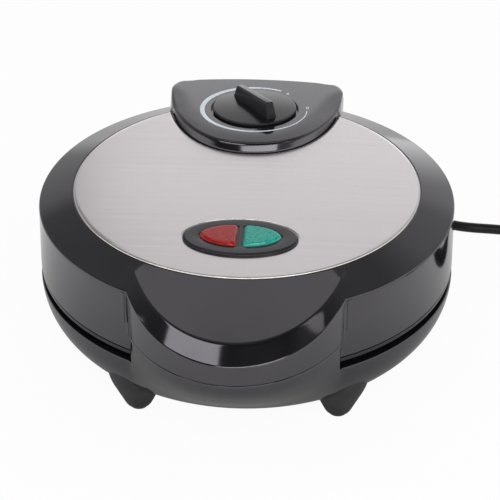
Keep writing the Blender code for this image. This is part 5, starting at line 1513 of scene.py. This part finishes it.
# What each finish is made of: kind, material's name, colour (none for the shell's own) and values
MADE_OF = {
    "shell": ("gloss", "shell_plastic", None,
              {"roughness": 0.09, "strength": 0.04, "shine": 0.90, "tint": COOL}),
    "housing": ("gloss", "housing_plastic", None,
                {"roughness": 0.13, "strength": 0.05, "shine": 0.90, "tint": COOL}),
    "trim": ("gloss", "trim_plastic", None,
             {"roughness": 0.18, "strength": 0.05, "shine": 0.50, "tint": COOL}),
    "dial": ("satin", "dial_plastic", (0.0085, 0.008, 0.0098),
             {"roughness": 0.17, "strength": 0.22, "shine": 0.29}),
    "foot": ("satin", "foot_plastic", (0.022, 0.0213, 0.0235),
             {"roughness": 0.42, "strength": 0.22, "shine": 0.46}),
    # Edge steel of the panel's lip and rim: polished, and its colour, lighter and warmer than the
    # panel's steel, is a painted highlight
    "edge": ("rolled", "rolled_steel", (0.80, 0.77, 0.71), {"roughness": 0.16, "metallic": 1.0}),
    "plate": ("coating", "plate_coating", (0.030, 0.030, 0.032),
              {"roughness": 0.36, "strength": 0.12, "metallic": 0.15}),
    "bright": ("metal", "bright_screw_metal", (0.66, 0.66, 0.67),
               {"roughness": 0.26, "metallic": 1.0}),
    "element": ("metal", "element_sheath", (0.30, 0.28, 0.26),
                {"roughness": 0.45, "metallic": 1.0}),
    "pressed": ("pressed", "pressed_aluminium", (0.76, 0.77, 0.78),
                {"roughness": 0.34, "metallic": 1.0}),
    "rubber": ("rubber", "pad_rubber", (0.012, 0.012, 0.0125),
               {"roughness": 0.72, "strength": 0.10, "shine": 0.50}),
    "cord": ("rubber", "cord_sheath", (0.008, 0.008, 0.009),
             {"roughness": 0.38, "strength": 0.10, "shine": 0.25}),
    "ceramic": ("ceramic", "insulator_ceramic", (0.78, 0.76, 0.70),
                {"roughness": 0.5, "strength": 0.2}),
    "ink": ("ink", "scale_ink", (0.80, 0.87, 0.95), {"roughness": 0.45}),
    "glass": ("glass", "lamp_glass", (0.82, 0.80, 0.76), {"roughness": 0.08, "clear": 0.6})}
FINISHES = {}


def finish_of(name):
    """Each finish, made when a piece first asks for it."""
    if name not in FINISHES:
        scene = bpy.context.scene
        if name in MADE_OF:
            kind, title, colour, values = MADE_OF[name]
            FINISHES[name] = textured(kind, title, colour or scene.donut_shell.colour, **values)
        elif name == "panel":
            FINISHES[name] = brushed_steel("panel_steel", scene.donut_panel.colour)
        else:
            side = name.split("_")[1]
            FINISHES[name] = clear_lens(side + "_lens_plastic", getattr(scene.donut_lamps, side))
    return FINISHES[name]


# Operators, one for each piece or group of like pieces

class DONUT_OT_camera(Operator):
    """Camera at the height and turn from which the appliance is seen"""
    bl_idname = "donut.camera"
    bl_label = "Camera"

    def execute(self, context):
        stage = context.scene.donut_stage
        azimuth, elevation = stage.azimuth, stage.elevation
        back = Vector((math.sin(azimuth) * math.cos(elevation),
                       -math.cos(azimuth) * math.cos(elevation), math.sin(elevation)))
        data = bpy.data.cameras.new("camera")
        data.lens = stage.lens
        data.shift_x = CAMERA_SHIFT
        camera = linked("camera", data)
        camera.location = Vector((0.0, AXIS_Y, AIM_Z)) + back * stage.distance
        camera.rotation_mode = "QUATERNION"
        camera.rotation_quaternion = ((-back).to_track_quat("-Z", "Y")
                                      @ Quaternion((0, 0, 1), stage.roll))
        context.scene.camera = camera
        return {"FINISHED"}


class DONUT_OT_cord(Operator):
    """Supply cord that leaves at the right rear, lies coiled on the table and ends in a plug"""
    bl_idname = "donut.cord"
    bl_label = "Cord and plug"

    def execute(self, context):
        route = cord_route()
        data = bpy.data.curves.new("supply_cord", "CURVE")
        data.dimensions = "3D"
        data.bevel_depth = CORD_R
        data.bevel_resolution = 5
        data.use_fill_caps = True
        spline = data.splines.new("POLY")
        spline.points.add(len(route) - 1)
        spline.points.foreach_set("co", np.column_stack([route, np.ones(len(route))]).ravel())
        spline.use_smooth = True
        cord = finished(linked("supply_cord", data), "base", "cord", "cord_black", "cord",
                        "cord_coil", "cord_tail")
        ends = [piece("plug_body", [grid(plug_rows())], "base", "cord", "rubber", "plug")]
        length_in = PLUG_PIN_LENGTH + PLUG_PIN_ROOT
        tip = rounded([(0.0, 0.0), (PLUG_PIN_R, 0.0), (PLUG_PIN_R, length_in - PLUG_EDGE),
                       (PLUG_PIN_R - PLUG_PIN_TAPER, length_in), (0.0, length_in)],
                      PLUG_PIN_ROUNDING, 4)
        for side, hand in HANDS:
            root = np.array([PLUG_X + side * PLUG_PIN_HALF_STEP,
                             PLUG_Y - GAP - PLUG_RELIEF - PLUG_LENGTH + PLUG_PIN_ROOT,
                             PLUG_HALF_H + GAP])
            ends.append(piece("plug_contact_" + hand,
                              [grid(along_axis(tip, root, (0.0, -1.0, 0.0), 32))],
                              "base", "bright", "bright_metal", "plug_pin_" + hand))
        return {"FINISHED"}


class DONUT_OT_relief(Operator):
    """Tapered strain relief with bending grooves"""
    bl_idname = "donut.relief"
    bl_label = "Strain relief"

    def execute(self, context):
        piece("cord_relief",
              [grid(along_axis(relief_profile(), gland_root(), gland_direction(), 64))],
              "base", "cord", "rubber", "strain_relief")
        return {"FINISHED"}


class DONUT_OT_lid(Operator):
    """Lid moulding with its ring, handle, skirt and ribs, the thermostat housing and the knuckle"""
    bl_idname = "donut.lid"
    bl_label = "Lid"

    def execute(self, context):
        corner = handle_corner(RING_R)
        knee_corner = handle_corner(PANEL_R + PANEL_GROOVE + TOP_START, HANDLE_BEVEL_W,
                                    HANDLE_BEVEL_D)
        turns = np.sort(np.concatenate([body_turns(knee_corner, 230), [-corner, corner]]))
        section = lid_section(turns, corner, knee_corner, context.scene.donut_shell.crease)
        lid = solid("lid_moulding", [grid(at_angle(turns, section))])
        inner = LUG_IN - KNUCKLE_CLEAR
        outer = LUG_IN + LUG_W + PIN_HEAD_H + KNUCKLE_CLEAR
        carve(lid, [cross_rod("lug_room", *sorted((side * inner, side * outer)),
                              AXIS_Y + HINGE_Y, HINGE_Z, LUG_R + KNUCKLE_CLEAR)
                    for side in (1, -1)])
        finished(lid, "lid", "shell", "gloss_black", "lid_shell")
        piece("thermostat_housing", [grid(housing_surface())], "lid", "housing", "gloss_black")
        knuckle = side_prism("hinge_knuckle", hinge_outline(False, APRON_Z + WALL), -inner, inner,
                             HINGE_EDGE)
        finished(knuckle, "lid", "trim", "gloss_black")
        for side, hand in HANDS:
            piece("skirt_rib_" + hand, [grid(rib_surface(side), False, True)], "lid", "shell",
                  "gloss_black")
        return {"FINISHED"}


class DONUT_OT_panel(Operator):
    """Domed steel panel with a rolled edge, cut out round the housing"""
    bl_idname = "donut.panel"
    bl_label = "Steel panel"

    def execute(self, context):
        piece("steel_panel", [grid(panel_surface(), False, True)], "lid", "panel", "steel",
              "top_panel")
        # Lip and rim are real rolled edges, and their lighter edge steel is a painted highlight
        piece("panel_lip", [grid(lip_surface(), wrap_v=True)], "lid", "edge", "steel")
        piece("panel_rim", [grid(rim_surface(), wrap_v=True)], "lid", "edge", "steel")
        return {"FINISHED"}


class DONUT_OT_frame(Operator):
    """Inner ring under the skirt"""
    bl_idname = "donut.frame"
    bl_label = "Lid frame"

    def execute(self, context):
        piece("lid_inner_ring", frame_patches(), "lid", "trim", "satin_black", "lid_frame")
        return {"FINISHED"}


class DONUT_OT_base(Operator):
    """Base shell with its bowl, lower handle, hinge lugs and vents"""
    bl_idname = "donut.base"
    bl_label = "Base"

    def execute(self, context):
        base = solid("base_moulding", [grid(base_surface())])
        y = AXIS_Y + HINGE_Y
        radius = LUG_R + KNUCKLE_CLEAR
        half = LUG_IN + LUG_W / 2
        stop = HINGE_Z - STOP_DROP
        backing = block("backing", (-half, y - radius - WALL, stop - WALL),
                        (half, y - LUG_R / 2, RIM_Z - GAP))
        carve(base, [backing], "UNION")
        pocket = cross_rod("pocket", -LUG_IN, LUG_IN, y, HINGE_Z, radius)
        ledge = block("ledge", (-LUG_IN, y, stop), (LUG_IN, y + REAR_REACH, HINGE_Z + radius))
        slots = [upright_prism("vent", vent_outline(side, row), BOWL_Z - OVERRUN,
                               BOWL_Z + WALL + OVERRUN)
                 for side in (-1, 1) for row in range(-2, 3)]
        carve(base, [pocket, ledge] + slots)
        finished(base, "base", "shell", "gloss_black", "base_shell")
        for side, hand in HANDS:
            ends = sorted((side * LUG_IN, side * (LUG_IN + LUG_W)))
            lug = side_prism("hinge_lug_" + hand, hinge_outline(True, RIM_Z - LUG_R / 2), *ends,
                             HINGE_EDGE)
            finished(lug, "base", "trim", "gloss_black")
        return {"FINISHED"}


class DONUT_OT_feet(Operator):
    """Four blunt cone feet with rubber pads"""
    bl_idname = "donut.feet"
    bl_label = "Feet"

    def execute(self, context):
        profile = rounded([(0.0, 0.0), (PAD_R, 0.0), (PAD_R, PAD_H), (0.0, PAD_H)], PAD_ROUNDING)
        for end, y in (("front", -FOOT_Y), ("rear", FOOT_Y)):
            for side, hand in HANDS:
                where = end + "_" + hand
                x = side * FOOT_X
                piece("leg_" + where, [grid(foot_surface(x, y))], "base", "foot", "satin_black",
                      "foot_" + where)
                piece("pad_" + where, [grid(spun(profile, 48, x, AXIS_Y + y))],
                      "base", "rubber", "rubber", "foot_pad_" + where)
        return {"FINISHED"}


class DONUT_OT_plates(Operator):
    """Two coated cooking plates, their screws, elements and reflectors"""
    bl_idname = "donut.plates"
    bl_label = "Cooking plates"

    def execute(self, context):
        for side, half, body in ((1, "lower", "base"), (-1, "upper", "lid")):
            piece("mould_plate_" + half, plate_patches(side), body, "plate", "nonstick",
                  half + "_cooking_plate")
            for number in "123":
                refined(half + "_plate_screw_" + number, "screw_%s_%s" % (half, number),
                        body, "bright", "bright_metal")
            refined(half + "_element", "heating_loop_" + half, body, "element", "element_metal")
            refined(half + "_reflector", "heat_dish_" + half, body, "pressed", "aluminium")
        return {"FINISHED"}


class DONUT_OT_hinge(Operator):
    """Hinge pins, spindle, thermostat and terminal block"""
    bl_idname = "donut.hinge"
    bl_label = "Hinge pins and inner parts"

    def execute(self, context):
        for _, hand in HANDS:
            refined("hinge_pin_" + hand, "pin_" + hand, "base", "bright", "bright_metal")
        refined("dial_spindle", "spindle_shaft", "dial", "bright", "bright_metal")
        refined("thermostat", "thermostat_body", "lid", "ceramic", "ceramic")
        refined("terminal_block", "wire_block", "base", "ceramic", "ceramic")
        return {"FINISHED"}


class DONUT_OT_dial(Operator):
    """Round dial with one grip blade across it"""
    bl_idname = "donut.dial"
    bl_label = "Dial"

    def execute(self, context):
        piece("dial_disc", [grid(disc_surface()), grid(grip_rows())], "dial", "dial", "satin_black",
              "dial_knob")
        return {"FINISHED"}


class DONUT_OT_scale(Operator):
    """Printed arc and figures on the housing beside the dial"""
    bl_idname = "donut.scale"
    bl_label = "Scale"

    def execute(self, context):
        piece("scale_arc", [grid(arc_surface(), False, True)], "lid", "ink", "satin_black",
              sharp=ARC_SHARP)
        for text, angle, radius, size in FIGURES:
            finished(figure("scale_" + text, text, size, angle, radius), "lid", "ink",
                     "satin_black")
        return {"FINISHED"}


class DONUT_OT_lamps(Operator):
    """Oval bezel with two indicator lenses and their lamps"""
    bl_idname = "donut.lamps"
    bl_label = "Indicator lamps"

    def execute(self, context):
        piece("lamp_bezel", bezel_patches(), "lid", "trim", "gloss_black", "indicator_bezel",
              sharp=BEZEL_SHARP)
        for (side, hand), colour in zip(HANDS, ("red", "green")):
            piece("cap_" + colour, [grid(lens_surface(side))], "lid", "lens_" + hand,
                  colour + "_lens", "lens_" + colour, sharp=LENS_SHARP)
            refined("lamp_" + hand, "glow_lamp_" + hand, "lid", "glass", "glass")
        return {"FINISHED"}


class DONUT_OT_stage(Operator):
    """White floor and background with soft studio lamps"""
    bl_idname = "donut.stage"
    bl_label = "Stage"

    def execute(self, context):
        scene = context.scene
        mesh = bpy.data.meshes.new("floor")
        corners = [(x * FLOOR_HALF, y * FLOOR_HALF, 0)
                   for x, y in ((-1, -1), (1, -1), (1, 1), (-1, 1))]
        mesh.from_pydata(corners, [], [(0, 1, 2, 3)])
        mesh.materials.append(floor_material())
        floor = linked("floor", mesh)
        lamps = [soft_box(*values) for values in LAMPS]
        world = bpy.data.worlds.new("studio")
        scene.world = world
        world.use_nodes = True
        surround(world.node_tree)
        scene.view_settings.view_transform = "Standard"
        return {"FINISHED"}


# Stage

def soft_box(name, direction, along, distance, width, depth, brightness):
    """Rectangular lamp that faces the lid, as bright as white paper times a factor."""
    data = bpy.data.lights.new(name, "AREA")
    data.shape = "RECTANGLE"
    data.size, data.size_y = width, depth
    data.energy = brightness * math.pi * width * depth
    lamp = linked(name, data)
    away = Vector(direction).normalized()
    across = Vector(along)
    across = (across - across.dot(away) * away).normalized()
    lamp.location = Vector((0.0, AXIS_Y, CREASE_Z)) + away * distance
    lamp.rotation_mode = "QUATERNION"
    lamp.rotation_quaternion = Matrix(
        (across, away.cross(across), away)).transposed().to_quaternion()
    return lamp


def floor_material():
    """White table. The camera, gloss and glass see it white, and its shadow stays on it.

    Gloss sees it dimmer close under the appliance, where the real table lies in shade.
    """
    material, tree, shader = new_material("white_table", (0.98, 0.98, 0.98), 0.8)
    shader.inputs["Specular IOR Level"].default_value = 0.0
    path = node(tree, "LightPath", {}).outputs
    camera = path["Is Camera Ray"]
    place = node(tree, "TexCoord", {}).outputs["Object"]
    far = node(tree, "VectorMath", {0: place}, "LENGTH").outputs["Value"]
    strength = combined(tree, "MAXIMUM", camera, spread(tree, far, 0.20, 1.0, 0.085, 0.22))
    plain = node(tree, "Emission", {"Strength": strength}).outputs["Emission"]
    seen = combined(tree, "MAXIMUM", path["Is Glossy Ray"], path["Is Transmission Ray"], camera)
    mixed(tree, combined(tree, "MULTIPLY", seen, 0.95), shader.outputs["BSDF"], plain,
          "Material Output")
    return material


def surround(tree):
    """Studio: light low walls beside and ahead, dimmer ones behind and a dark ceiling."""
    place = node(tree, "TexCoord", {}).outputs["Generated"]
    axes = node(tree, "SeparateXYZ", {"Vector": place}).outputs
    x, y, z = (axes[axis] for axis in "XYZ")
    low = spread(tree, z, 1.0, 0.0, 0.36, 0.46)
    walls = combined(tree, "MULTIPLY", spread(tree, y, 1.4, 0.60, 0.0, 0.6), low)
    ceiling = combined(tree, "MULTIPLY", spread(tree, y, 0.03, 0.30, -0.2, 0.3),
                       combined(tree, "SUBTRACT", 1.0, low))
    right = combined(tree, "MULTIPLY", spread(tree, x, 0.0, 0.35, 0.15, 0.45),
                     spread(tree, z, 1.0, 0.0, 0.65, 0.80))
    middle = spread(tree, combined(tree, "ABSOLUTE", x, 0.0), 1.0, 0.0, 0.16, 0.36)
    glow = combined(tree, "MULTIPLY", spread(tree, z, 1.5, 0.0, 0.27, 0.43),
                    spread(tree, y, 0.0, 1.0, 0.4, 0.7), middle)
    light = tree.nodes["Background"]
    light.inputs["Color"].default_value = WHITE
    tree.links.new(combined(tree, "ADD", walls, ceiling, right, glow), light.inputs["Strength"])
    white = node(tree, "Background", {"Color": WHITE}).outputs["Background"]
    camera = node(tree, "LightPath", {}).outputs["Is Camera Ray"]
    mixed(tree, camera, light.outputs["Background"], white, "World Output")


class DONUT_PT_panel(Panel):
    """Sizes, colours and pieces of the donut maker"""
    bl_label = "Donut maker"
    bl_idname = "DONUT_PT_panel"
    bl_space_type = "VIEW_3D"
    bl_region_type = "UI"
    bl_category = "Donut maker"

    def draw(self, context):
        layout = self.layout
        for name in SETTINGS:
            box = layout.box()
            settings = getattr(context.scene, name)
            for entry in settings.__annotations__:
                box.prop(settings, entry)
        for operator in PIECES:
            layout.operator(operator.bl_idname)


PIECES = (DONUT_OT_camera, DONUT_OT_cord, DONUT_OT_relief, DONUT_OT_lid, DONUT_OT_panel,
          DONUT_OT_frame, DONUT_OT_base, DONUT_OT_feet, DONUT_OT_plates, DONUT_OT_hinge,
          DONUT_OT_dial, DONUT_OT_scale, DONUT_OT_lamps, DONUT_OT_stage)
SETTINGS = {"donut_shell": ShellSettings, "donut_panel": PanelSettings, "donut_lamps": LampSettings,
            "donut_stage": StageSettings}
CLASSES = (*SETTINGS.values(), *PIECES, DONUT_PT_panel)


def register():
    """Make the add-on's classes and settings known."""
    for item in CLASSES:
        bpy.utils.register_class(item)
    for name, kind in SETTINGS.items():
        setattr(bpy.types.Scene, name, PointerProperty(type=kind))


def unregister():
    """Take the settings and classes away again."""
    for name in SETTINGS:
        delattr(bpy.types.Scene, name)
    for item in reversed(CLASSES):
        bpy.utils.unregister_class(item)


def main():
    """Build the whole scene."""
    register()
    bpy.ops.donut.camera()
    bpy.ops.donut.cord()
    bpy.ops.donut.relief()
    bpy.ops.donut.lid()
    bpy.ops.donut.panel()
    bpy.ops.donut.frame()
    bpy.ops.donut.base()
    bpy.ops.donut.feet()
    bpy.ops.donut.plates()
    bpy.ops.donut.hinge()
    bpy.ops.donut.dial()
    bpy.ops.donut.scale()
    bpy.ops.donut.lamps()
    bpy.ops.donut.stage()


if __name__ == "__main__":
    main()
